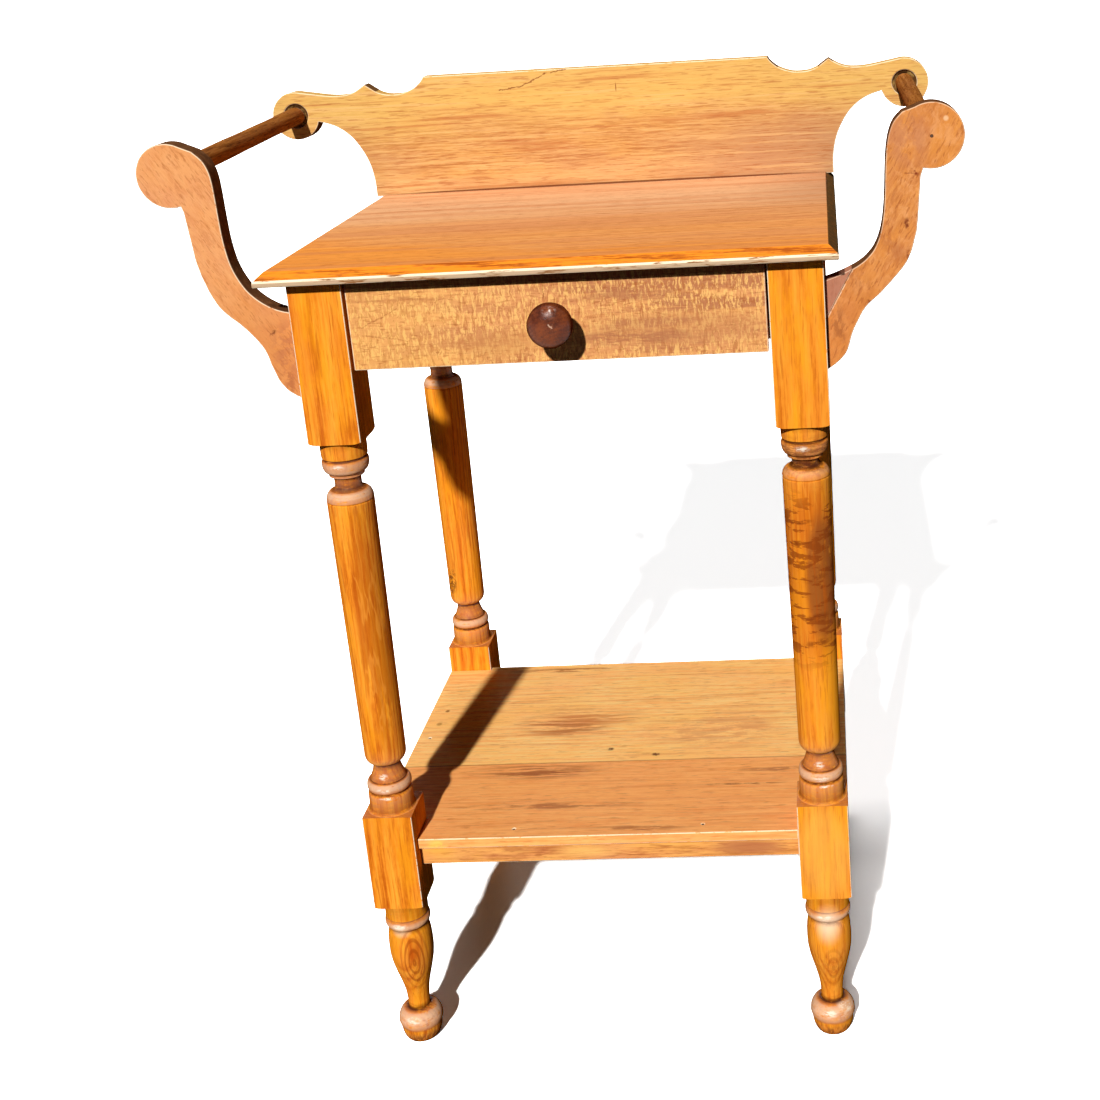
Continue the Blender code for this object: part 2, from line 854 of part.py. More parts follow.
def drive_brad(name, head, direction, length, pieces):
    """A brad sunk just under the surface at head, in holes through the pieces that it joins."""
    head = Vector(head)
    direction = Vector(direction)
    brad = rod_mesh(head + direction * brad_sink, direction, brad_radius, length - brad_sink, brad_facets)
    start = head - direction * cut_overrun
    depth = cut_overrun + length + seat_gap
    for piece in pieces:
        shape(piece, [rod_mesh(start, direction, brad_radius + seat_gap, depth, brad_facets)])
    return make_object(name, brad, steel_colour, 0.5, 1.0)


def set_dowel(name, start, direction, length, pieces):
    """A dowel in blind holes in the pieces that it joins."""
    dowel = rod_mesh(start, direction, dowel_radius, length, dowel_facets)
    for piece in pieces:
        hole = rod_mesh(
            start - direction * mortise_end_gap, direction, dowel_radius + seat_gap,
            length + 2 * mortise_end_gap, dowel_facets,
        )
        shape(piece, [hole])
    return make_object(name, dowel, raw_wood_colour, 0.6)


def make_bar_brads(brackets, bars):
    """A brad through each disc into the end of its bar."""
    for side, word in ((-1, "left"), (1, "right")):
        start, _, direction = bar_line(side)
        head = start - direction * (bracket_thickness / direction.y)
        pieces = [brackets["towel_bracket_" + word], bars[word]]
        drive_brad("towel_bar_brad_" + word, head, direction, bar_brad_length, pieces)


def make_bracket_dowels(legs, brackets):
    y = front_y + bracket_setback + bracket_thickness / 2
    length = bracket_dowel_in_leg + bracket_dowel_in_arm
    for side, word in ((-1, "left"), (1, "right")):
        x = legs_x + side * (half_width - bracket_dowel_in_leg)
        pieces = [legs["leg_front_" + word], brackets["towel_bracket_" + word]]
        if side > 0:
            pieces.append(brackets["bracket_corner_right"])
        for share, level in zip(bracket_dowel_shares, ("lower", "upper")):
            start = Vector((x, y, bracket_bottom_z + share * bracket_height))
            set_dowel("bracket_dowel_%s_%s" % (word, level), start, Vector((side, 0, 0)), length, pieces)


def make_board_dowels(top, board):
    y = board_front_y + board_thickness / 2
    length = board_dowel_in_top + board_dowel_in_board
    for count, share in enumerate(board_dowel_shares, 1):
        start = Vector((top_x + share * top_half, y, stand_height - board_dowel_in_top))
        set_dowel("back_board_dowel_%d" % count, start, Vector((0, 0, 1)), length, [top, board])


def make_shelf(legs):
    """The shelf board, notched round the legs, and the frame of rails under it."""
    low_z = shelf_underside - shelf_rail_height
    high_z = shelf_underside
    tenon_low_z = low_z + shelf_tenon_shoulder
    tenon_high_z = high_z - shelf_tenon_shoulder
    rails = {}
    rail_lines = {
        "front": front_y + shelf_front_setback + shelf_rail_setback + shelf_rail_thickness / 2,
        "back": back_y - leg_square + back_rail_setback + shelf_rail_thickness / 2,
    }
    for word, middle in rail_lines.items():
        rail, sockets = tenoned_rail(
            "shelf_rail_" + word,
            (legs_x - opening_half + seat_gap, middle - shelf_rail_thickness / 2, low_z),
            (legs_x + opening_half - seat_gap, middle + shelf_rail_thickness / 2, high_z),
            0,
            (0, middle - tenon_thickness / 2, tenon_low_z),
            (0, middle + tenon_thickness / 2, tenon_high_z),
            board_colour,
        )
        rails[word] = rail
        cut_sockets(legs, ("leg_%s_left" % word, "leg_%s_right" % word), sockets)
    for side, word in ((-1, "left"), (1, "right")):
        middle = legs_x + side * (half_width - apron_setback - shelf_rail_thickness / 2)
        rail, sockets = tenoned_rail(
            "shelf_rail_" + word,
            (middle - shelf_rail_thickness / 2, front_y + leg_square + seat_gap, low_z),
            (middle + shelf_rail_thickness / 2, back_y - leg_square - seat_gap, high_z),
            1,
            (middle - tenon_thickness / 2, 0, tenon_low_z),
            (middle + tenon_thickness / 2, 0, tenon_high_z),
            board_colour,
        )
        rails[word] = rail
        cut_sockets(legs, ("leg_front_" + word, "leg_back_" + word), sockets)

    notch_x = opening_half - seat_gap
    front = front_y + shelf_front_setback
    back = back_y - shelf_back_setback
    notch_front = front_y + leg_square + seat_gap
    notch_back = back_y - leg_square - seat_gap
    right_side = [
        (notch_x, front), (notch_x, notch_front), (half_width, notch_front), (half_width, notch_back),
        (notch_x, notch_back), (notch_x, back),
    ]
    left_side = [(-x, y) for x, y in reversed(right_side)]
    outline = [(legs_x + x, y) for x, y in right_side + left_side]
    shelf = make_object(
        "shelf_board", prism_mesh(outline, shelf_underside + seat_gap, shelf_height, "Z"), board_colour, 0.4
    )

    for side, word in ((-1, "left"), (1, "right")):
        front_head = (legs_x + side * shelf_brad_share * opening_half, rail_lines["front"], shelf_height)
        drive_brad(
            "shelf_brad_front_" + word, front_head, (0, 0, -1), shelf_brad_length, [shelf, rails["front"]]
        )
        side_x = legs_x + side * (half_width - apron_setback - shelf_rail_thickness / 2)
        side_head = (side_x, (notch_front + notch_back) / 2, shelf_height)
        drive_brad("shelf_brad_side_" + word, side_head, (0, 0, -1), shelf_brad_length, [shelf, rails[word]])


def make_knob(hub):
    """The mushroom knob, turned about the drawer's middle, and the screw that holds it."""
    knob_z = (drawer_bottom_z + top_underside) / 2
    seat = Vector((legs_x, drawer_front_y - seat_gap, knob_z))
    body = Turning()
    body.step(knob_base_radius)
    body.rise(knob_neck_reach, knob_neck_radius)
    body.sweep(knob_flare_reach, knob_radius, knob_steps)
    body.rise(knob_rim_reach)
    dome_start = body.height
    for step in range(1, knob_steps + 1):
        turn = math.pi / 2 * step / knob_steps
        body.rise_to(dome_start + knob_dome_reach * math.sin(turn), knob_radius * math.cos(turn))
    profile = body.points[:-1] + [(0.0, body.height)]
    knob = make_object(
        "drawer_knob", aim(turned_mesh(profile, knob_facets), seat, (0, -1, 0)), dark_wood_colour, 0.25
    )

    def screw_profile(gap, overrun):
        screw = Turning(-overrun)
        screw.step(screw_head_radius + gap)
        screw.rise_to(gap)
        screw.rise_to(screw_head_height + gap, screw_radius + gap)
        screw.rise_to(screw_length + gap)
        return turned_mesh(screw.close(), dowel_facets)

    start = Vector((legs_x, drawer_front_y + front_thickness, knob_z))
    screw = aim(screw_profile(0, 0), start, (0, -1, 0))
    shape(knob, [aim(screw_profile(seat_gap, cut_overrun), start, (0, -1, 0))])
    shape(bpy.data.objects["drawer_front"], [aim(screw_profile(seat_gap, cut_overrun), start, (0, -1, 0))])
    screw_piece = make_object("knob_screw", screw, steel_colour, 0.4, 1.0)
    hold(hub, [knob, screw_piece])


def hold(hub, pieces):
    """Hangs pieces on the drawer's empty, where they are."""
    for piece in pieces:
        piece.parent = hub
        piece.matrix_parent_inverse = Matrix.Translation(-hub.location)


def make_drawer():
    hub = bpy.data.objects.new("drawer_slide", None)
    hub.location = (legs_x, drawer_front_y, (drawer_bottom_z + top_underside) / 2)
    bpy.context.scene.collection.objects.link(hub)

    front_half = opening_half - drawer_side_gap
    side_face = front_half - drawer_side_inset
    inner_face = side_face - side_thickness
    lip_y = drawer_front_y + front_lip
    front_back_y = drawer_front_y + front_thickness
    front_top_z = top_underside - drawer_top_gap
    side_top_z = kicker_bottom_z - side_top_gap
    panel_low_z = drawer_side_bottom_z + panel_rise
    panel_high_z = panel_low_z + panel_thickness
    panel_half = inner_face + groove_depth - seat_gap
    panel_front_y = front_back_y - groove_depth + seat_gap

    front = make_object(
        "drawer_front",
        box_mesh(
            (legs_x - front_half, drawer_front_y, drawer_bottom_z),
            (legs_x + front_half, front_back_y, front_top_z),
        ),
        pale_colour,
        0.4,
    )
    rabbets = []
    for side in (-1, 1):
        xs = sorted((legs_x + side * (inner_face - seat_gap), legs_x + side * (front_half + cut_overrun)))
        rabbets.append(
            box_mesh(
                (xs[0], lip_y, drawer_bottom_z - cut_overrun),
                (xs[1], front_back_y + cut_overrun, front_top_z + cut_overrun),
            )
        )
    panel_slot_low = (legs_x - panel_half - seat_gap, panel_front_y - seat_gap, panel_low_z - seat_gap)
    panel_slot_high = (
        legs_x + panel_half + seat_gap, drawer_back_y + cut_overrun, panel_high_z + seat_gap
    )
    shape(front, rabbets + [box_mesh(panel_slot_low, panel_slot_high)])

    sides = {}
    for side, word in ((-1, "left"), (1, "right")):
        xs = sorted((legs_x + side * inner_face, legs_x + side * side_face))
        board = make_object(
            "drawer_side_" + word,
            box_mesh(
                (xs[0], lip_y + seat_gap, drawer_side_bottom_z), (xs[1], drawer_back_y, side_top_z)
            ),
            raw_wood_colour,
            0.6,
        )
        shape(board, [box_mesh(panel_slot_low, panel_slot_high)])
        sides[word] = board

    back = make_object(
        "drawer_back",
        box_mesh(
            (legs_x - inner_face + seat_gap, drawer_back_y - back_thickness, panel_high_z + seat_gap),
            (legs_x + inner_face - seat_gap, drawer_back_y, side_top_z - back_top_drop),
        ),
        raw_wood_colour,
        0.6,
    )
    panel = make_object(
        "drawer_bottom",
        box_mesh(
            (legs_x - panel_half, panel_front_y, panel_low_z),
            (legs_x + panel_half, drawer_back_y, panel_high_z),
        ),
        raw_wood_colour,
        0.6,
    )

    brads = []
    brad_z = panel_high_z + drawer_brad_share * (side_top_z - back_top_drop - panel_high_z)
    front_brad_y = (lip_y + front_back_y) / 2
    back_brad_y = drawer_back_y - back_thickness / 2
    for side, word in ((-1, "left"), (1, "right")):
        for end, partner, y in (("front", front, front_brad_y), ("back", back, back_brad_y)):
            name = "drawer_brad_%s_%s" % (end, word)
            head = (legs_x + side * side_face, y, brad_z)
            brads.append(drive_brad(name, head, (-side, 0, 0), drawer_brad_length, [sides[word], partner]))
    hold(hub, [front, sides["left"], sides["right"], back, panel] + brads)
    return hub


def main():
    for leftover in list(bpy.data.objects):
        bpy.data.objects.remove(leftover, do_unlink=True)
    legs = make_legs()
    make_aprons(legs)
    make_top_rail(legs)
    make_runners()
    make_glue_blocks()
    top = make_top()
    house_board(top)
    board = make_back_board()
    brackets = make_brackets()
    bars = make_bars(brackets, board)
    make_bar_brads(brackets, bars)
    make_bracket_dowels(legs, brackets)
    make_board_dowels(top, board)
    make_shelf(legs)
    hub = make_drawer()
    make_knob(hub)
    bpy.context.view_layer.update()


main()
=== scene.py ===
from math import cos, pi, radians, sin, sqrt, tau

import bmesh
import bpy
from mathutils import Matrix, Vector


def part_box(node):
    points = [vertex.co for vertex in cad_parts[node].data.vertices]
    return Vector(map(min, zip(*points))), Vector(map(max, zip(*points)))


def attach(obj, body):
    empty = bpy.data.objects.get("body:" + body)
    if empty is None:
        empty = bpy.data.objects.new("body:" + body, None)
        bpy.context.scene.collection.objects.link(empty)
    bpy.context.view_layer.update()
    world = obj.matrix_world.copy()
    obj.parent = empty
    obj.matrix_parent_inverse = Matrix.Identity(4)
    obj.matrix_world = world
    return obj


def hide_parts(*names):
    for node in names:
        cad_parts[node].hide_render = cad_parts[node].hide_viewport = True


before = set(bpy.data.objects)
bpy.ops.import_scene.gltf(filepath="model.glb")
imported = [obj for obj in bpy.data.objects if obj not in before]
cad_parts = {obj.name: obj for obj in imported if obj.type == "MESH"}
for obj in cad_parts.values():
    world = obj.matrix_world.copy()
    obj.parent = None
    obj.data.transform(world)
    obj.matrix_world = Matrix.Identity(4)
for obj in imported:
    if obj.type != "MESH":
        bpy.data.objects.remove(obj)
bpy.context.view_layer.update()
print("frame loaded")

weldDistance = 0.000001
smoothAngle = radians(33)
pointGap = 0.0012  # points of a sawn outline stay this far apart
nearLevel = 0.001  # heights this close count as one level
fineEdge = 0.0005  # how far turned edges are rounded
hiddenArris = 0.0006  # the same for rails and aprons
blockArris = 0.0005  # and for glue blocks
toolReach = 0.004  # how far a cutting tool stands past what it cuts
tenonSpace = 0.0005  # free depth behind a tenon


def boxMesh(low, high):
    bm = bmesh.new()
    size = Vector(high) - Vector(low)
    middle = (Vector(high) + Vector(low)) / 2
    bmesh.ops.create_cube(bm, size=1, matrix=Matrix.Translation(middle) @ Matrix.Diagonal((*size, 1)))
    return bm


def slabMesh(outline, low, high):
    # an outline in XZ pulled along Y
    bm = bmesh.new()
    face = bm.faces.new([bm.verts.new((x, low, z)) for x, z in outline])
    grown = bmesh.ops.extrude_face_region(bm, geom=[face])
    moved = [item for item in grown["geom"] if isinstance(item, bmesh.types.BMVert)]
    bmesh.ops.translate(bm, verts=moved, vec=(0, high - low, 0))
    bmesh.ops.recalc_face_normals(bm, faces=bm.faces)
    return bm


def spunMesh(profile, steps=64):
    # a profile of (radius, height) from axis to axis, spun about Z
    bm = bmesh.new()
    points = [bm.verts.new((radius, 0, height)) for radius, height in profile]
    edges = [bm.edges.new(pair) for pair in zip(points, points[1:])]
    bmesh.ops.spin(bm, geom=points + edges, cent=(0, 0, 0), axis=(0, 0, 1), angle=tau, steps=steps, use_merge=True)
    bmesh.ops.remove_doubles(bm, verts=bm.verts, dist=weldDistance)
    bmesh.ops.recalc_face_normals(bm, faces=bm.faces)
    return bm


def aimed(bm, start, direction):
    turn = Vector((0, 0, 1)).rotation_difference(Vector(direction)).to_matrix().to_4x4()
    bmesh.ops.transform(bm, matrix=Matrix.Translation(start) @ turn, verts=bm.verts)
    return bm


def nodeMesh(node):
    # a welded copy of a CAD node's mesh
    bm = bmesh.new()
    bm.from_mesh(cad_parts[node].data)
    bmesh.ops.remove_doubles(bm, verts=bm.verts, dist=weldDistance)
    bmesh.ops.recalc_face_normals(bm, faces=bm.faces)
    return bm


def mark(bm, faces, word, value=1.0):
    # writes marks such as wear, darkening and thin finish into the corners of faces
    layer = bm.loops.layers.float.get(word) or bm.loops.layers.float.new(word)
    for face in faces:
        for loop in face.loops:
            loop[layer] = value


def easeEdges(bm, width, segments=3, sharper=radians(40), chosen=None):
    # rounds the arrises of a board and marks them as worn
    edges = [
        edge for edge in bm.edges
        if len(edge.link_faces) == 2 and edge.calc_face_angle(0) > sharper and (chosen is None or chosen(edge))
    ]
    done = bmesh.ops.bevel(
        bm, geom=edges, offset=width, offset_type="OFFSET", segments=segments, profile=0.5, affect="EDGES",
        material=-1, clamp_overlap=False,
    )
    mark(bm, done["faces"], "wear")
    return bm


def looseObject(name, bm):
    mesh = bpy.data.meshes.new(name)
    bm.to_mesh(mesh)
    bm.free()
    piece = bpy.data.objects.new(name, mesh)
    bpy.context.scene.collection.objects.link(piece)
    return piece


def carved(bm, tools, operation="DIFFERENCE"):
    # cuts or joins one mesh with others
    piece = looseObject("carving", bm)
    helpers = [looseObject("carving tool", tool) for tool in tools]
    for helper in helpers:
        modifier = piece.modifiers.new("carve", "BOOLEAN")
        modifier.operation = operation
        modifier.object = helper
    bpy.context.view_layer.update()
    graph = bpy.context.evaluated_depsgraph_get()
    settled = bpy.data.meshes.new_from_object(piece.evaluated_get(graph))
    result = bmesh.new()
    result.from_mesh(settled)
    bmesh.ops.remove_doubles(result, verts=result.verts, dist=weldDistance)
    bmesh.ops.dissolve_degenerate(result, edges=result.edges, dist=weldDistance)
    for helper in helpers + [piece]:
        bpy.data.meshes.remove(helper.data)
    bpy.data.meshes.remove(settled)
    return result


def addPiece(name, bm, material, nodes, body="stand"):
    piece = looseObject(name, bm)
    piece.data.materials.clear()
    piece.data.materials.append(material)
    piece.data.shade_smooth()
    piece.data.set_sharp_from_angle(angle=smoothAngle)
    shading = piece.modifiers.new("even shading", "WEIGHTED_NORMAL")
    shading.keep_sharp = True
    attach(piece, body)
    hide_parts(*nodes)
    return piece


def smoothPoints(points, steps=6):
    # points on a smooth curve through the given ones
    ends = [points[0]] + list(points) + [points[-1]]
    curve = []
    for before, start, end, after in zip(ends, ends[1:], ends[2:], ends[3:]):
        for step in range(steps):
            t = step / steps
            pair = []
            for p0, p1, p2, p3 in zip(before, start, end, after):
                slopeIn = (p2 - p0) / 2
                slopeOut = (p3 - p1) / 2
                rise = p2 - p1
                cubic = slopeIn + slopeOut - 2 * rise
                square = 3 * rise - 2 * slopeIn - slopeOut
                pair.append(p1 + slopeIn * t + square * t * t + cubic * t ** 3)
            curve.append(tuple(pair))
    curve.append(tuple(points[-1]))
    return curve


def arcPoints(centre, radius, startDegrees, endDegrees, count):
    turns = [radians(startDegrees + (endDegrees - startDegrees) * step / count) for step in range(count + 1)]
    return [(centre[0] + radius * cos(turn), centre[1] + radius * sin(turn)) for turn in turns]


def thinned(points, gap):
    # leaves out points that lie closer together than gap
    kept = [points[0]]
    for point in points[1:]:
        if (Vector(point) - Vector(kept[-1])).length >= gap:
            kept.append(point)
    if kept[-1] != points[-1]:
        kept[-1] = points[-1]
    if (Vector(kept[-1]) - Vector(kept[0])).length < gap:
        kept.pop()
    return kept


def softened(points, radius, steps=3, sharper=radians(28)):
    # rounds the sharp corners of a turning's outline
    result = [points[0]]
    for before, corner, after in zip(points, points[1:], points[2:]):
        back = Vector(before) - Vector(corner)
        on = Vector(after) - Vector(corner)
        if back.length < weldDistance or on.length < weldDistance or pi - back.angle(on) < sharper:
            result.append(corner)
            continue
        reach = min(radius, back.length * 0.45, on.length * 0.45)
        first = Vector(corner) + back.normalized() * reach
        last = Vector(corner) + on.normalized() * reach
        for step in range(steps + 1):
            t = step / steps
            spot = first * (1 - t) ** 2 + Vector(corner) * 2 * t * (1 - t) + last * t * t
            result.append(tuple(spot))
    result.append(points[-1])
    return result


def quickStart(share):
    return sin(pi / 2 * share)


def slowStart(share):
    return 1 - cos(pi / 2 * share)


class Turning:
    # the outline of a turned piece, followed from one end to the other

    def __init__(self, height=0.0):
        self.points = [(0.0, height)]

    def step(self, radius):
        self.points.append((radius, self.points[-1][1]))

    def riseTo(self, height, radius=None):
        self.points.append((self.points[-1][0] if radius is None else radius, height))

    def rise(self, amount, radius=None):
        self.riseTo(self.points[-1][1] + amount, radius)

    def curve(self, amount, radius, steps, outward, upward):
        # outward and upward say how much of the way is done at a share of the steps
        startRadius, startHeight = self.points[-1]
        for step in range(1, steps + 1):
            share = step / steps
            self.riseTo(startHeight + amount * upward(share), startRadius + (radius - startRadius) * outward(share))

    def swell(self, amount, radius, steps=10):
        # a quarter round that leaves level and ends upright at its fullest
        self.curve(amount, radius, steps, quickStart, slowStart)

    def closeIn(self, amount, radius, steps=10):
        # a quarter round that leaves upright and ends level at its root
        self.curve(amount, radius, steps, slowStart, quickStart)

    def bead(self, amount, root, radius, steps=7):
        self.step(root)
        self.swell(amount / 2, radius, steps)
        self.closeIn(amount / 2, root, steps)

    def sweep(self, amount, radius, steps=20):
        # an S curve that is upright at both ends
        self.curve(amount, radius, steps, lambda share: (1 - cos(pi * share)) / 2, float)

    def hollow(self, amount, radius, steps=10):
        # a hollow that slopes at its wide end and is upright at its narrow end
        self.curve(amount, radius, steps, quickStart if radius < self.points[-1][0] else slowStart, float)

    def follow(self, moves):
        for move, *sizes in moves:
            getattr(self, move)(*sizes)

    def close(self):
        self.step(0.0)
        return self.points


def tone(red, green, blue):
    # a colour written as it looks on screen, 0 to 255, as a linear one
    parts = [value / 255 for value in (red, green, blue)]
    return tuple(part / 12.92 if part <= 0.04045 else ((part + 0.055) / 1.055) ** 2.4 for part in parts) + (1.0,)


def paintedSpot(centre, size, colour, share, edge=0.35, ragged=None, turn=(0, 0, 0), rings=None):
    # an ellipsoid spot of another colour, for stains and for painted highlights and shadows; ragged breaks it up, and
    # rings make it a knot
    if isinstance(ragged, int):
        ragged = (ragged,) * 3
    return {
        "centre": centre, "size": size, "colour": tone(*colour), "share": share, "edge": edge, "ragged": ragged,
        "turn": turn, "rings": rings,
    }


def scratch(centre, to, width, colour, share):
    # a thin crooked line of another colour
    return {"centre": centre, "to": to, "width": width, "colour": tone(*colour), "share": share}


def paintedSpotsOn(y, depth=0.004):
    # makes spots for an upright face that looks to the front at y: stains, and some painted shadows
    def made(x, z, wide, high, colour, share, **more):
        return paintedSpot((x, y, z), (wide, depth, high), colour, share, **more)

    return made


class Finish:
    # a material that is put together node by node

    def __init__(self, name):
        self.material = bpy.data.materials.new(name)
        self.material.use_nodes = True
        self.nodes = self.material.node_tree.nodes
        self.links = self.material.node_tree.links
        self.shader = self.nodes["Principled BSDF"]
        self.place = self.node("ShaderNodeTexCoord").outputs["Object"]

    def node(self, kind, inputs=None, **facts):
        made = self.nodes.new(kind)
        for word, value in facts.items():
            setattr(made, word, value)
        for word, value in (inputs or {}).items():
            self.feed(made.inputs[word], value)
        return made

    def feed(self, socket, value):
        if isinstance(value, bpy.types.NodeSocket):
            self.links.new(value, socket)
        elif value is not None:
            socket.default_value = value

    def mapped(self, scale, shift=(0, 0, 0), turn=(0, 0, 0), source=None):
        facts = {"Vector": source or self.place, "Scale": scale, "Location": shift}
        made = self.node("ShaderNodeMapping", facts)
        made.inputs["Rotation"].default_value = [radians(angle) for angle in turn]
        return made.outputs["Vector"]

    def cloud(self, vector, detail=3.0, roughness=0.55, distortion=0.0, colour=False):
        facts = {"Vector": vector, "Scale": 1.0, "Detail": detail, "Roughness": roughness, "Distortion": distortion}
        made = self.node("ShaderNodeTexNoise", facts)
        return made.outputs["Color" if colour else "Fac"]

    def math(self, operation, first, second=None, third=None, clamp=False):
        made = self.node("ShaderNodeMath", operation=operation, use_clamp=clamp)
        for socket, value in zip(made.inputs, (first, second, third)):
            self.feed(socket, value)
        return made.outputs["Value"]

    def vector(self, operation, first, second=None):
        made = self.node("ShaderNodeVectorMath", operation=operation)
        for socket, value in zip(made.inputs, (first, second)):
            self.feed(socket, value)
        return made.outputs["Value" if operation in ("LENGTH", "DISTANCE", "DOT_PRODUCT") else "Vector"]

    def levels(self, value, low, high, start=0.0, end=1.0):
        facts = {"Value": value, "From Min": low, "From Max": high, "To Min": start, "To Max": end}
        return self.node("ShaderNodeMapRange", facts, interpolation_type="SMOOTHSTEP").outputs["Result"]

    def blend(self, share, first, second, way="MIX"):
        made = self.node("ShaderNodeMix", data_type="RGBA", blend_type=way, clamp_factor=True)
        self.feed(made.inputs[0], share)
        self.feed(made.inputs[6], first)
        self.feed(made.inputs[7], second)
        return made.outputs[2]

    def ramp(self, value, stops):
        made = self.node("ShaderNodeValToRGB", {"Fac": value})
        band = made.color_ramp
        while len(band.elements) < len(stops):
            band.elements.new(0.5)
        for element, (spot, colour) in zip(band.elements, stops):
            element.position = spot
            element.color = colour
        return made.outputs["Color"]

    def along(self, axis):
        return self.node("ShaderNodeSeparateXYZ", {"Vector": self.place}).outputs[axis]

    def over(self, colour, mask, share, tint):
        # lays a tint over a colour where the mask says
        return self.blend(self.times(mask, share), colour, tint)

    def times(self, first, second):
        return self.math("MULTIPLY", first, second)

    def set(self, word, value):
        self.feed(self.shader.inputs[word], value)

    def attribute(self, word):
        return self.node("ShaderNodeAttribute", attribute_name=word, attribute_type="GEOMETRY").outputs["Fac"]

    def spot(self, centre, size, edge=0.35, turn=(0, 0, 0), source=None):
        # 1 inside an ellipsoid at centre, falling to 0 at its rim
        near = self.vector("SUBTRACT", source or self.place, centre)
        turned = self.mapped((1, 1, 1), turn=turn, source=near)
        sized = self.mapped([1 / value for value in size], source=turned)
        return self.levels(self.vector("LENGTH", sized), 1.0, edge)

    def line(self, start, end, width):
        # 1 on a crooked line from start to end, 0 beside it
        crook = self.cloud(self.mapped((220,) * 3), 3, 0.7, colour=True)
        offset = self.vector("MULTIPLY", self.vector("SUBTRACT", crook, (0.5, 0.5, 0.5)), (0.004,) * 3)
        near = self.vector("SUBTRACT", self.vector("ADD", self.place, offset), start)
        run = Vector(end) - Vector(start)
        share = self.math("DIVIDE", self.vector("DOT_PRODUCT", near, tuple(run)), run.length_squared, clamp=True)
        along = self.vector("SCALE", tuple(run))
        self.feed(along.node.inputs["Scale"], share)
        away = self.vector("LENGTH", self.vector("SUBTRACT", near, along))
        return self.levels(away, width, width * 0.3)


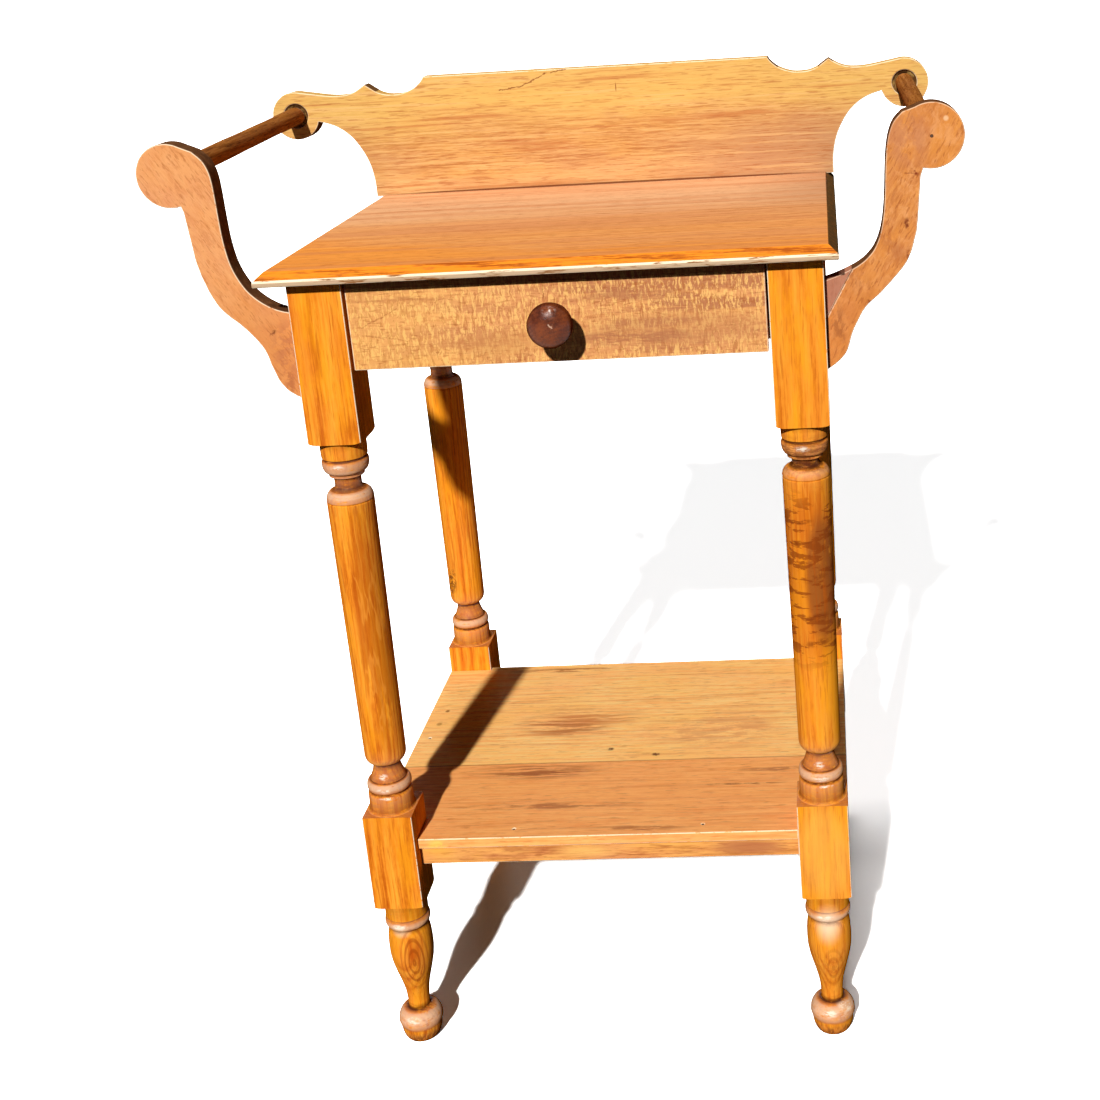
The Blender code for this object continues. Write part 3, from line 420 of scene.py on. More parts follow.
def wood(name, look, marks=(), extra=None):
    # look says how the wood is coloured and grained, marks are stains, knots, cracks, scratches
    # and some painted highlights and shadows; each Grain pair says how finely a pattern runs across and along the
    # grain
    look = {word: tone(*value) if value and word in woodTints else value for word, value in look.items()}
    finish = Finish(name)
    grain = "XYZ".index(look["grain"])
    place = finish.mapped((1, 1, 1), turn=look["lean"])

    def stretched(across, lengthwise, shift=(0, 0, 0), source=None):
        scale = [across] * 3
        scale[grain] = lengthwise
        return finish.mapped(scale, shift, source=source or place)

    # the lines of the grain wander a little
    wander = finish.cloud(stretched(*look["wanderGrain"]), 2, colour=True)
    offset = finish.vector("MULTIPLY", finish.vector("SUBTRACT", wander, (0.5, 0.5, 0.5)), (look["wander"],) * 3)
    bent = finish.vector("ADD", place, offset)

    # growth rings round a pith beside the piece, as narrow dark lines
    pith = finish.mapped((1, 1, 1), [-value for value in look["pith"]], source=bent)
    leant = finish.mapped((1, 1, 1), turn=look["ringTurn"], source=pith)
    facts = {
        "Vector": leant, "Scale": ringsPerMetre / look["ringGap"], "Distortion": look["ringWarp"], "Detail": 3.0,
        "Detail Scale": look["ringWarpScale"], "Detail Roughness": 0.6,
    }
    rings = finish.node(
        "ShaderNodeTexWave", facts, wave_type="RINGS", rings_direction=look["grain"], wave_profile="SIN",
    ).outputs["Fac"]
    rings = finish.math("POWER", rings, look["ringFull"])

    streaks = finish.cloud(stretched(*look["streakGrain"], source=bent), 5, 0.62)
    fibre = finish.cloud(stretched(*look["fibreGrain"], (0.3, 0.1, 0.2)), 3, 0.65)
    share = look["ringShare"]
    field = finish.times(rings, share)
    field = finish.math("MULTIPLY_ADD", streaks, look["streakShare"], field)
    field = finish.math("MULTIPLY_ADD", fibre, look["fibreShare"], field)
    total = share * 0.6 + look["streakShare"] * 0.5 + look["fibreShare"] * 0.5
    spread = look["contrast"]
    tint = finish.levels(field, total - spread, total + spread)
    colour = finish.ramp(tint, [(0.0, look["deep"]), (0.45, look["mid"]), (1.0, look["pale"])])

    # broad areas that lean to a rosier or a more golden stain
    for word, shift in (("rosy", (0.7, 0.4, 0.9)), ("golden", (2.1, 3.3, 1.7))):
        broad = finish.cloud(stretched(*look["blotchGrain"], shift), 5, 0.62)
        mask = finish.times(finish.levels(broad, 0.42, 0.68), look[word + "Share"])
        colour = finish.blend(mask, colour, look[word])
    if extra:
        colour = extra(finish, colour, tint, stretched)

    # short dark dashes of open pores, and finer ones between them
    pores = finish.cloud(stretched(*look["poreGrain"], (0.2, 0.6, 0.4), bent), 2, 0.5)
    poreMask = finish.levels(pores, look["poreLimit"], look["poreLimit"] + 0.07)
    colour = finish.over(colour, poreMask, look["poreShare"], look["pore"])
    dashes = finish.cloud(stretched(*look["dashGrain"], (0.5, 0.9, 0.1), bent), 3, 0.6)
    dashMask = finish.levels(dashes, 0.58, 0.68)
    colour = finish.over(colour, dashMask, look["dashShare"], look["dash"])

    # turned details where the finish is thin, worn arrises and dark recesses, all broken up
    breakUp = finish.cloud(finish.mapped(look["wearScale"]), 4, 0.7)
    bare = finish.times(finish.attribute("bare"), finish.levels(breakUp, 0.3, 0.58, 0.45, 1.0))
    colour = finish.over(colour, bare, look["bareShare"], look["bare"])
    worn = finish.times(finish.attribute("wear"), finish.levels(breakUp, *look["wearBreak"]))
    colour = finish.over(colour, worn, look["wearShare"], look["worn"])

    for item in marks:
        if "to" in item:
            mask = finish.line(item["centre"], item["to"], item["width"])
        else:
            mask = finish.spot(item["centre"], item["size"], item["edge"], item["turn"])
        if item.get("ragged"):
            mask = finish.times(mask, finish.levels(finish.cloud(finish.mapped(item["ragged"]), 4, 0.7), 0.42, 0.56))
        if item.get("rings"):
            # the rings of a knot, wider along the grain
            away = finish.mapped(
                [1 / value for value in item["size"]], source=finish.vector("SUBTRACT", bent, item["centre"]),
            )
            wave = finish.math("SINE", finish.times(finish.vector("LENGTH", away), item["rings"] * tau))
            mask = finish.times(mask, finish.levels(wave, -0.2, 0.9))
        colour = finish.over(colour, mask, item["share"], item["colour"])

    # the legs' hollows, the walls of the bar holes and the knob's neck are darkened: partly dirt, partly painted
    # shade
    grime = finish.times(finish.attribute("grime"), finish.levels(breakUp, 0.2, 0.55))
    colour = finish.over(colour, grime, 0.9, look["grime"])
    # sawn edges are darker; on the top's right end and its bevel this is painted shade
    if look["sawn"]:
        sawn = finish.times(finish.attribute("sawn"), finish.levels(breakUp, 0.2, 0.6, 0.75, 0.95))
        colour = finish.blend(sawn, colour, look["sawn"])
    # upright pieces are scaled darker, the top less and the shelf not at all: a painted difference in light between
    # upright and up-facing boards
    if look["depth"] < 1:
        colour = finish.blend(1.0, colour, (look["depth"],) * 3 + (1,), "MULTIPLY")
    finish.set("Base Color", colour)

    low, high = look["gloss"]
    patchy = finish.math("MULTIPLY_ADD", streaks, 0.5, finish.times(breakUp, 0.5))
    rough = finish.math("MULTIPLY_ADD", worn, 0.12, finish.levels(patchy, 0.3, 0.7, low, high))
    finish.set("Roughness", rough)
    # a reflection at a flat angle would lie over the wood like a white veil
    facing = finish.node("ShaderNodeLayerWeight", {"Blend": 0.5}).outputs["Facing"]
    shine = finish.math("MULTIPLY_ADD", bare, look["glint"], look["shine"])
    finish.set("Specular IOR Level", finish.times(shine, finish.levels(facing, 0.62, 0.3)))

    relief = finish.math("MULTIPLY_ADD", tint, 0.5, finish.times(fibre, 0.35))
    relief = finish.math("MULTIPLY_ADD", poreMask, -0.6, relief)
    relief = finish.math("MULTIPLY_ADD", breakUp, 0.25, relief)
    bump = finish.node("ShaderNodeBump", {"Height": relief, "Strength": look["relief"], "Distance": 0.0004})
    finish.set("Normal", bump.outputs["Normal"])
    return finish.material


ringsPerMetre = 0.314
woodTints = ("deep", "mid", "pale", "rosy", "golden", "pore", "dash", "worn", "grime", "bare", "sawn")
boardLook = {
    "grain": "X", "lean": (0, 0, 0),
    "deep": (190, 112, 56), "mid": (232, 158, 92), "pale": (248, 192, 116),
    "rosy": (222, 148, 104), "rosyShare": 0.5, "golden": (246, 178, 84), "goldenShare": 0.5,
    "wander": 0.005, "wanderGrain": (14, 5),
    "pith": (0, 0.16, 0.62), "ringTurn": (0, 1, 2), "ringGap": 0.005, "ringWarp": 1.2, "ringWarpScale": 1.4,
    "ringFull": 0.45, "ringShare": 0.12,
    "streakGrain": (420, 16), "streakShare": 1.0,
    "fibreGrain": (1300, 90), "fibreShare": 0.7,
    "contrast": 0.4, "blotchGrain": (30, 9),
    "poreGrain": (620, 60), "poreLimit": 0.6, "poreShare": 0.5, "pore": (160, 84, 40),
    "dashGrain": (330, 70), "dashShare": 0.25, "dash": (178, 98, 50),
    "wearScale": (150, 150, 150), "wearBreak": (0.32, 0.5), "wearShare": 0.8, "worn": (255, 228, 190),
    "grime": (58, 16, 10),
    "bare": (214, 150, 112), "bareShare": 0.0, "sawn": None, "depth": 0.88,
    "gloss": (0.46, 0.6), "shine": 0.03, "glint": 0.0, "relief": 0.4,
}
legLook = dict(
    boardLook, grain="Z", deep=(188, 88, 14), mid=(236, 136, 34), pale=(255, 172, 58),
    rosy=(226, 122, 40), rosyShare=0.5, golden=(254, 164, 26), goldenShare=0.55,
    pith=(0.03, 0.05, 0), ringTurn=(1, 1, 0), ringGap=0.0034, ringWarp=1.0, ringShare=0.3, ringFull=0.5,
    streakGrain=(310, 10), fibreGrain=(1300, 50), blotchGrain=(60, 14), contrast=0.36,
    pore=(176, 80, 16), poreGrain=(620, 34), poreShare=0.35, dash=(184, 86, 16), dashGrain=(330, 18), dashShare=0.5,
    worn=(255, 236, 206), wearShare=0.95, wearBreak=(0.31, 0.47), grime=(58, 18, 8), bare=(190, 112, 66),
    bareShare=0.72,
    wearScale=(110, 110, 360),
    gloss=(0.44, 0.58), shine=0.02, glint=0.18,
)
print("helpers ready")


cameraView = {
    "place": (0.22423, -1.38812, 0.97634), "turn": (73.5454, 3.4405, 2.8502), "lens": 51.694,
    "shift": (-0.1689, -0.14123),
}
lightLook = {
    "keyFrom": (-0.138, -1.0, 0.65), "keyPower": 4.8, "keySize": 1.8, "keyTint": (1.0, 0.985, 0.955),
    "upperFrom": (0.0, 0.04, 1.0), "upperPower": 1.08, "upperSize": 10.0, "upperTint": (1.0, 1.0, 1.0),
    "backFrom": (-0.16, 1.0, 0.035), "backPower": 1.1, "backSize": 14.0, "backTint": (1.0, 1.0, 1.0),
    "fill": 0.014,
}
floorLook = {"size": 60.0, "seen": 2.5, "lit": 0.06}


def setCamera():
    data = bpy.data.cameras.new("camera")
    data.sensor_width = 36
    data.lens = cameraView["lens"]
    data.shift_x, data.shift_y = cameraView["shift"]
    camera = bpy.data.objects.new("camera", data)
    camera.location = cameraView["place"]
    camera.rotation_euler = [radians(angle) for angle in cameraView["turn"]]
    bpy.context.scene.collection.objects.link(camera)
    bpy.context.scene.camera = camera


def sunLamp(word):
    data = bpy.data.lights.new(word, "SUN")
    data.energy = lightLook[word + "Power"]
    data.angle = radians(lightLook[word + "Size"])
    data.color = lightLook[word + "Tint"]
    lamp = bpy.data.objects.new(word, data)
    lamp.rotation_euler = Vector(lightLook[word + "From"]).to_track_quat("Z", "Y").to_euler()
    lamp.location = Vector(lightLook[word + "From"]) * 3
    bpy.context.scene.collection.objects.link(lamp)


def setLights():
    for word in ("key", "upper", "back"):
        sunLamp(word)
    world = bpy.data.worlds.new("studio")
    world.use_nodes = True
    bpy.context.scene.world = world
    nodes, links = world.node_tree.nodes, world.node_tree.links
    nodes.clear()
    seen = nodes.new("ShaderNodeBackground")
    lit = nodes.new("ShaderNodeBackground")
    lit.inputs["Strength"].default_value = lightLook["fill"]
    mix = nodes.new("ShaderNodeMixShader")
    links.new(seenRay(nodes, links), mix.inputs[0])
    links.new(lit.outputs[0], mix.inputs[1])
    links.new(seen.outputs[0], mix.inputs[2])
    links.new(mix.outputs[0], nodes.new("ShaderNodeOutputWorld").inputs[0])


def seenRay(nodes, links):
    # 1 for rays from the camera and for reflections
    path = nodes.new("ShaderNodeLightPath")
    total = path.outputs["Is Camera Ray"]
    for word in ("Is Glossy Ray", "Is Transmission Ray"):
        either = nodes.new("ShaderNodeMath")
        either.operation = "MAXIMUM"
        links.new(total, either.inputs[0])
        links.new(path.outputs[word], either.inputs[1])
        total = either.outputs[0]
    return total


def makeFloor():
    bm = bmesh.new()
    bmesh.ops.create_grid(bm, x_segments=1, y_segments=1, size=floorLook["size"])
    floor = looseObject("studioFloor", bm)
    finish = Finish("floor paint")
    shade = finish.node("ShaderNodeBsdfDiffuse")
    lit = (floorLook["lit"],) * 3 + (1,)
    bright = (floorLook["seen"],) * 3 + (1,)
    finish.feed(shade.inputs["Color"], finish.blend(seenRay(finish.nodes, finish.links), lit, bright))
    finish.links.new(shade.outputs[0], finish.nodes["Material Output"].inputs["Surface"])
    floor.data.materials.append(finish.material)


setCamera()
setLights()
makeFloor()
bpy.context.scene.view_settings.view_transform = "Standard"
print("camera, lights and floor set")


stand = {
    "width": 0.4296, "depth": 0.3881, "height": 0.7381, "shelf": 0.2143,
    "legsX": 0.0023, "topX": -0.0023, "frontY": -0.1744, "backY": 0.2137, "legSquare": 0.0445,
    "topUnderside": 0.7262, "topHalf": 0.2319, "seatGap": 0.0003,
}
seatGap, legsX, topX, topHalf = (stand[word] for word in ("seatGap", "legsX", "topX", "topHalf"))
frontY, backY, underTop = (stand[word] for word in ("frontY", "backY", "topUnderside"))
halfWidth = stand["width"] / 2
halfLeg = stand["legSquare"] / 2


legShape = {
    "upperBlock": 0.1371, "lowerBlockBottom": 0.1492, "lowerBlockTop": 0.242, "blockArris": 0.0007, "overrun": 0.004,
    "shoulderRadius": 0.0262, "upperShoulder": 0.0062, "lowerShoulder": 0.0042, "cornerMargin": 0.002,
    "shoulderEdge": 0.0006, "topRadius": 0.0278, "topShoulder": 0.002, "bareShoulder": 0.0025,
    # the turned forms from the floor up, each as its moves along the outline
    "ball": (
        ("step", 0.0125), ("swell", 0.016, 0.0188, 12), ("step", 0.0194), ("rise", 0.003, 0.0203), ("rise", 0.0015),
        ("closeIn", 0.0125, 0.01, 14),
    ),
    "vase": (("rise", 0.0065), ("sweep", 0.058, 0.02, 26), ("rise", 0.004), ("closeIn", 0.0205, 0.0162, 14)),
    "ring": (("bead", 0.0105, 0.017, 0.0205), ("step", 0.0194), ("rise", 0.0008), ("riseTo", 0.1956)),
    "drum": (
        ("step", 0.022), ("riseTo", 0.242), ("swell", 0.0028, 0.0196, 6), ("riseTo", 0.2575),
        ("closeIn", 0.0028, 0.0178, 6), ("step", 0.0172), ("riseTo", 0.2622),
    ),
    "bead": (
        ("step", 0.018), ("swell", 0.004, 0.0196, 7), ("closeIn", 0.0052, 0.0168, 8), ("step", 0.0153),
        ("rise", 0.001),
    ),
    "cove": (("step", 0.016), ("hollow", 0.0159, 0.0117), ("step", 0.0125), ("swell", 0.0085, 0.0183)),
    "shaftLow": 0.0183, "shaftHigh": 0.0199, "shaftSteps": 24, "scoreDepth": 0.0007, "scoreHeight": 0.0014,
    "shaftShoulder": 0.009, "shaftShoulderRoot": 0.014, "neckRadius": 0.0113, "neckHeight": 0.0125,
    "neckParts": (0.3, 0.35, 0.35), "neckFlare": 0.45, "fillet": 0.0149, "filletHeight": 0.0034,
    "collarBead": 0.0197, "collarBeadRoot": 0.016, "collarBeadHeight": 0.0112, "collarBeadTop": 0.0184,
    "beadCrest": 0.76, "groove": 0.0174, "grooveWidth": 0.0022, "collar": 0.0192, "collarSwell": 0.0003,
    "collarHeight": 0.0153, "edge": 0.0005,
    # heights between which the finish is thin, and how thin
    "bareZones": ((0.0155, 0.033, 1.0), (0.122, 0.1332, 1.0), (0.2415, 0.2622, 0.5), (0.2622, 0.2884, 1.0)),
    "neckBare": 1.0,
    "bars": (
        (0.5045, 0.003, 0.85), (0.4862, 0.0028, 0.75), (0.4545, 0.006, 0.5), (0.4183, 0.006, 0.6),
        (0.3952, 0.005, 0.7),
    ),
    "glints": (
        (0.0, 0.0196, 0.2664, 0.009, 0.0024), (-0.001, 0.0148, 0.2775, 0.006, 0.003),
        (0.004, 0.0192, 0.2587, 0.011, 0.0013), (-0.003, 0.0203, 0.1277, 0.011, 0.0028),
        (-0.002, 0.0197, 0.568, 0.008, 0.0026), (-0.003, 0.0195, 0.0265, 0.01, 0.0036),
    ),
}
# the front right leg was turned a little differently
legChanges = {
    "front right": {
        "upperBlock": 0.1391, "collarHeight": 0.0131, "neckHeight": 0.0085, "shaftShoulder": 0.008, "neckBare": 0.35,
    }
}


def heights(s, *parts):
    return sum(s[part] for part in parts)


def legOutline(s):
    leg = Turning()
    for form in ("ball", "vase", "ring", "drum", "bead", "cove"):
        leg.follow(s[form])
    neckTop = underTop - heights(s, "upperBlock", "collarHeight", "grooveWidth", "collarBeadHeight", "filletHeight")
    scoreTop = neckTop - s["neckHeight"] - s["shaftShoulder"]
    shaftBottom = leg.points[-1][1]
    for step in range(1, s["shaftSteps"] + 1):
        share = step / s["shaftSteps"]
        run = (scoreTop - s["scoreHeight"] - shaftBottom) * share
        leg.riseTo(shaftBottom + run, s["shaftLow"] + (s["shaftHigh"] - s["shaftLow"]) * share)
    leg.rise(s["scoreHeight"] / 2, s["shaftHigh"] - s["scoreDepth"])
    leg.rise(s["scoreHeight"] / 2, s["shaftHigh"])
    leg.closeIn(s["shaftShoulder"], s["shaftShoulderRoot"], 12)
    low, middle, high = (s["neckHeight"] * part for part in s["neckParts"])
    leg.hollow(low, s["neckRadius"], 5)
    leg.rise(middle)
    leg.hollow(high, s["neckRadius"] + (s["fillet"] - s["neckRadius"]) * s["neckFlare"], 5)
    leg.step(s["fillet"])
    leg.rise(s["filletHeight"])
    leg.step(s["collarBeadRoot"])
    leg.swell(s["collarBeadHeight"] * s["beadCrest"], s["collarBead"], 9)
    leg.closeIn(s["collarBeadHeight"] * (1 - s["beadCrest"]), s["collarBeadTop"], 4)
    leg.step(s["groove"])
    leg.rise(s["grooveWidth"])
    leg.step(s["collar"])
    leg.rise(s["collarHeight"] / 2, s["collar"] + s["collarSwell"])
    leg.rise(s["collarHeight"] / 2, s["collar"])
    leg.rise(s["upperShoulder"])
    return leg.close()


def markRelief(bm, outline, bareZones, window=0.006, fullWear=0.003, fullDarkening=0.002):
    # crests of a turning are worn, hollows are darkened, and the finish is thin on its details
    foot = min(point[1] for point in outline)
    spacing = 0.0005
    count = int((max(point[1] for point in outline) - foot) / spacing) + 2
    reach = [0.0] * count
    for (r0, z0), (r1, z1) in zip(outline, outline[1:]):
        first, last = sorted((z0, z1))
        for index in range(int((first - foot) / spacing), int((last - foot) / spacing) + 1):
            z = foot + index * spacing
            share = 0.5 if last - first < weldDistance else min(1, max(0, (z - z0) / (z1 - z0)))
            reach[index] = max(reach[index], r0 + (r1 - r0) * share)
    span = int(window / spacing)
    layers = [
        bm.loops.layers.float.get(word) or bm.loops.layers.float.new(word) for word in ("wear", "grime", "bare")
    ]
    for face in bm.faces:
        for loop in face.loops:
            x, y, z = loop.vert.co
            index = int((z - foot) / spacing)
            nearby = [value for value in reach[max(0, index - span):index + span + 1] if value > 0]
            relief = sqrt(x * x + y * y) - sum(nearby) / len(nearby)
            thin = max([share for low, high, share in bareZones if low <= z <= high], default=0.0)
            values = (relief / fullWear * max(thin, 0.3), -relief / fullDarkening, thin)
            for layer, value in zip(layers, values):
                loop[layer] = max(0.0, min(1.0, value))


def blockMesh(s, bottom, top, lowShoulder, rounded):
    # a square block whose corners are turned away where it meets turned work
    envelope = Turning(bottom)
    envelope.step(s["shoulderRadius"])
    envelope.swell(lowShoulder, halfLeg * sqrt(2) + s["cornerMargin"], 12)
    if rounded:
        envelope.riseTo(top - s["topShoulder"])
        envelope.closeIn(s["topShoulder"], s["topRadius"], 6)
    else:
        envelope.riseTo(top)
    square = boxMesh((-halfLeg, -halfLeg, bottom - s["overrun"]), (halfLeg, halfLeg, top + s["overrun"]))
    easeEdges(
        square, s["blockArris"], chosen=lambda edge: abs(edge.verts[0].co.z - edge.verts[1].co.z) > s["overrun"],
    )
    turned = spunMesh(softened(envelope.close(), s["shoulderEdge"]))
    if rounded:
        mark(turned, [face for face in turned.faces if face.calc_center_median().z > top - s["bareShoulder"]], "bare")
    return carved(square, [turned], "INTERSECT")


def legPattern(s):
    outline = softened(legOutline(s), s["edge"])
    upperBottom = underTop - s["upperBlock"]
    collarFoot = upperBottom - s["collarHeight"]
    neckFoot = collarFoot - heights(
        s, "grooveWidth", "collarBeadHeight", "filletHeight", "neckHeight", "shaftShoulder",
    )
    shaft = spunMesh(outline)
    markRelief(shaft, outline, [*s["bareZones"], (neckFoot, collarFoot, s["neckBare"])])
    blocks = [
        blockMesh(s, s["lowerBlockBottom"], s["lowerBlockTop"], s["lowerShoulder"], True),
        blockMesh(s, upperBottom, underTop - seatGap, s["upperShoulder"], False),
    ]
    pattern = carved(shaft, blocks, "UNION")
    mesh = bpy.data.meshes.new("leg pattern")
    pattern.to_mesh(mesh)
    pattern.free()
    return mesh


def makeLegs():
    common = legPattern(legShape)
    places = {
        "left": legsX - halfWidth + halfLeg, "right": legsX + halfWidth - halfLeg,
        "front": frontY + halfLeg, "back": backY - halfLeg,
    }
    for end in ("front", "back"):
        for side in ("left", "right"):
            word = end + " " + side
            pattern = legPattern(dict(legShape, **legChanges[word])) if word in legChanges else common
            leg = bmesh.new()
            leg.from_mesh(pattern)
            x, y = places[side], places[end]
            bmesh.ops.translate(leg, verts=leg.verts, vec=(x, y, 0))
            tenons = ["apron_" + side, "shelf_rail_" + side, "shelf_rail_" + end]
            if end == "front":
                tenons += ["top_rail_front", "bracket_dowel_" + side + "_lower", "bracket_dowel_" + side + "_upper"]
            else:
                tenons.append("apron_back")
            leg = carved(leg, [nodeMesh(node) for node in tenons])
            pithX, pithY = legPiths[word]
            look = dict(legLook, pith=(x + pithX, y + pithY, 0), **legTones.get(word, {}))
            material = wood(word + " leg wood", look, legMarks(word, x, y), legExtras.get(word))
            addPiece(end + side.capitalize() + "Leg", leg, material, ["leg_" + end + "_" + side])
    print("legs turned")


legPiths = {
    "front left": (0.03, 0.11), "front right": (-0.03, 0.14), "back left": (0.05, 0.12), "back right": (-0.04, 0.12),
}
legTones = {
    "front right": {
        "mid": (238, 142, 40), "deep": (198, 98, 18), "goldenShare": 0.7, "rosyShare": 0.3, "contrast": 0.5,
    },
}


def figure(finish, colour, centre, size, brown, share):
    # a browner tongue of figure with pale wavy lines in it
    ragged = finish.cloud(finish.mapped((75, 75, 15), (0.2, 0.7, 0.1)), 4, 0.65)
    mask = finish.times(finish.spot(centre, size, 0.55), finish.levels(ragged, 0.36, 0.46))
    colour = finish.over(colour, mask, share, brown)
    wavy = finish.cloud(finish.mapped((110, 110, 15), (0.6, 0.1, 0.4)), 2, 0.5, 0.2)
    near = finish.math("ABSOLUTE", finish.math("SUBTRACT", wavy, 0.5))
    lines = finish.times(finish.levels(near, 0.034, 0.004), mask)
    return finish.over(colour, lines, 0.5, tone(246, 158, 58))


def leftFigure(finish, colour, tint, stretched):
    return figure(finish, colour, (-0.1815, -0.17, 0.415), (0.015, 0.03, 0.135), tone(186, 88, 16), 0.6)


def crossBands(finish, colour, tint, stretched):
    # the right shaft is barred with short brown strokes, over a darker patch on its right side, partly the wood and
    # partly painted shade
    colour = figure(finish, colour, (0.196, -0.17, 0.505), (0.011, 0.03, 0.05), tone(206, 108, 28), 0.6)
    height = finish.along("Z")
    zone = finish.levels(finish.math("ABSOLUTE", finish.math("SUBTRACT", height, 0.452)), 0.09, 0.055)
    dull = finish.cloud(finish.mapped((48, 48, 30), (0.31, 0.2, 0.6)), 4, 0.65)
    colour = finish.over(colour, zone, 0.4, tone(196, 94, 20))
    # a dark patch on the right of the shaft, partly painted shade
    patch = finish.spot((0.205, -0.17, 0.452), (0.0175, 0.03, 0.07), 0.6)
    mask = finish.times(patch, finish.levels(dull, 0.3, 0.46))
    colour = finish.over(colour, mask, 0.85, tone(144, 76, 32))
    strokes = finish.cloud(finish.mapped((46, 46, 140), (0.5, 0.1, 0.3), (7, 0, 0)), 4, 0.62, 0.4)
    mask = finish.times(zone, finish.levels(strokes, 0.505, 0.56))
    return finish.over(colour, mask, 0.78, tone(136, 62, 16))


legExtras = {"front left": leftFigure, "front right": crossBands}


def legMarks(word, x, y):
    def at(across, out, z, size, colour, share, **more):
        return paintedSpot((x + across, y - out, z), size, colour, share, **more)

    marks = []
    if word == "front right":
        # brown bars on the shaft, then a knot, rubbed places and a painted highlight on the top of the vase
        for z, height, share in legShape["bars"]:
            across = 0.004 if z < 0.46 else -0.008
            size = (0.015, 0.02, height)
            marks.append(
                at(across, 0.018, z, size, (116, 50, 14), share, edge=0.3, ragged=(70, 70, 160), turn=(0, 8, 0))
            )
        marks += [
            at(0.003, 0.018, 0.072, (0.014, 0.03, 0.034), (176, 88, 26), 0.4, edge=0.4, rings=3.5),
            at(0, 0.022, 0.195, (0.03, 0.012, 0.06), (255, 188, 86), 0.4, edge=0.5),
            at(0, 0.016, 0.12, (0.015, 0.013, 0.026), (255, 222, 188), 0.75, edge=0.2),
            at(0, 0, 0.562, (0.03, 0.03, 0.026), (116, 58, 24), 0.75, edge=0.6, ragged=(60, 60, 260)),
            at(
                0.0115, 0.0095, 0.029, (0.011, 0.011, 0.0042), (255, 240, 212), 0.8, edge=0.3, ragged=(90, 90, 200),
                turn=(0, -24, 0),
            ),
        ]
    if word == "front left":
        # a painted highlight on the top of the vase and a brown knot with its rings
        marks += [
            at(-0.003, 0.017, 0.122, (0.012, 0.01, 0.008), (255, 222, 180), 0.6, edge=0.2),
            at(0.006, 0.018, 0.0985, (0.0095, 0.02, 0.022), (196, 92, 20), 0.5, edge=0.3),
            at(0.006, 0.018, 0.0985, (0.0055, 0.02, 0.0095), (186, 78, 14), 0.65, edge=0.3),
            at(0.006, 0.018, 0.09, (0.015, 0.03, 0.044), (160, 72, 14), 0.62, edge=0.55, rings=4.2),
        ]
    if word == "back left":
        marks.append(at(-0.012, 0.015, 0.315, (0.008, 0.014, 0.022), (92, 46, 18), 0.8, ragged=260, turn=(0, -12, 0)))
    if word.startswith("front"):
        # painted highlights where the rounded details catch the light
        for across, out, z, wide, high in legShape["glints"]:
            size = (wide, 0.006, high * 1.25)
            marks.append(at(across, out, z, size, (255, 244, 226), 0.75, edge=0.3, ragged=(150, 150, 460)))
    # the balls are browner and cracked below, and their crests are rubbed pale
    lower = (0.026, 0.026, 0.0185)
    return marks + [
        at(0, 0, 0, lower, (204, 118, 46), 0.7, edge=0.75),
        at(0, 0, 0.004, lower, (104, 48, 18), 0.75, edge=0.6, ragged=(300, 300, 70)),
        at(0, 0, 0.0245, (0.03, 0.03, 0.0075), (252, 218, 186), 0.75, edge=0.3, ragged=(150, 150, 330)),
    ]


makeLegs()


topShape = {
    "frontOverhang": 0.0141, "bevelWidth": 0.008, "bevelDrop": 0.0072, "noseRound": 0.0014,
    "arris": 0.0009,
}


def makeTop():
    # the upper face is pulled in at the front and ends, then the nose and the arrises are rounded
    s = topShape
    low = Vector((topX - topHalf, frontY - s["frontOverhang"], underTop))
    high = Vector((topX + topHalf, backY, stand["height"] - s["bevelDrop"]))
    top = boxMesh(low, high)
    upper = next(face for face in top.faces if face.normal.z > 0.9)
    grown = bmesh.ops.extrude_face_region(top, geom=[upper])
    bmesh.ops.delete(top, geom=[upper], context="FACES")
    for vert in (item for item in grown["geom"] if isinstance(item, bmesh.types.BMVert)):
        vert.co.z = stand["height"]
        vert.co.x += s["bevelWidth"] * (1 if vert.co.x < topX else -1)
        if vert.co.y < 0:
            vert.co.y += s["bevelWidth"]
    bmesh.ops.recalc_face_normals(top, faces=top.faces)
    mark(top, [face for face in top.faces if 0.3 < face.normal.z < 0.95], "bevel")
    # the right end with its bevel is painted dark as shade, and the underside is dark too
    mark(top, [face for face in top.faces if face.normal.x > 0.3 or face.normal.z < -0.9], "sawn")
    nose = stand["height"] - s["bevelDrop"] + nearLevel

    def atNose(edge):
        first, second = (vert.co.z for vert in edge.verts)
        return max(first, second) < nose and abs(first - second) < nearLevel

    easeEdges(top, s["noseRound"], 4, chosen=atNose)
    easeEdges(
        top, s["arris"], 3, radians(30), lambda edge: min(v.co.z for v in edge.verts) > stand["height"] - nearLevel,
    )
    mark(top, [face for face in top.faces if face.normal.y < -0.95], "wear", 0.4)
    mark(top, [face for face in top.faces if face.calc_center_median().z > stand["height"] - nearLevel], "wear", 0.0)
    tools = ["back_board", "back_board_dowel_1", "back_board_dowel_2", "back_board_dowel_3", "back_board_dowel_4"]
    top = carved(top, [nodeMesh(node) for node in tools])
    addPiece("topBoard", top, wood("top wood", topLook, topMarks, topZones), ["top_board"])


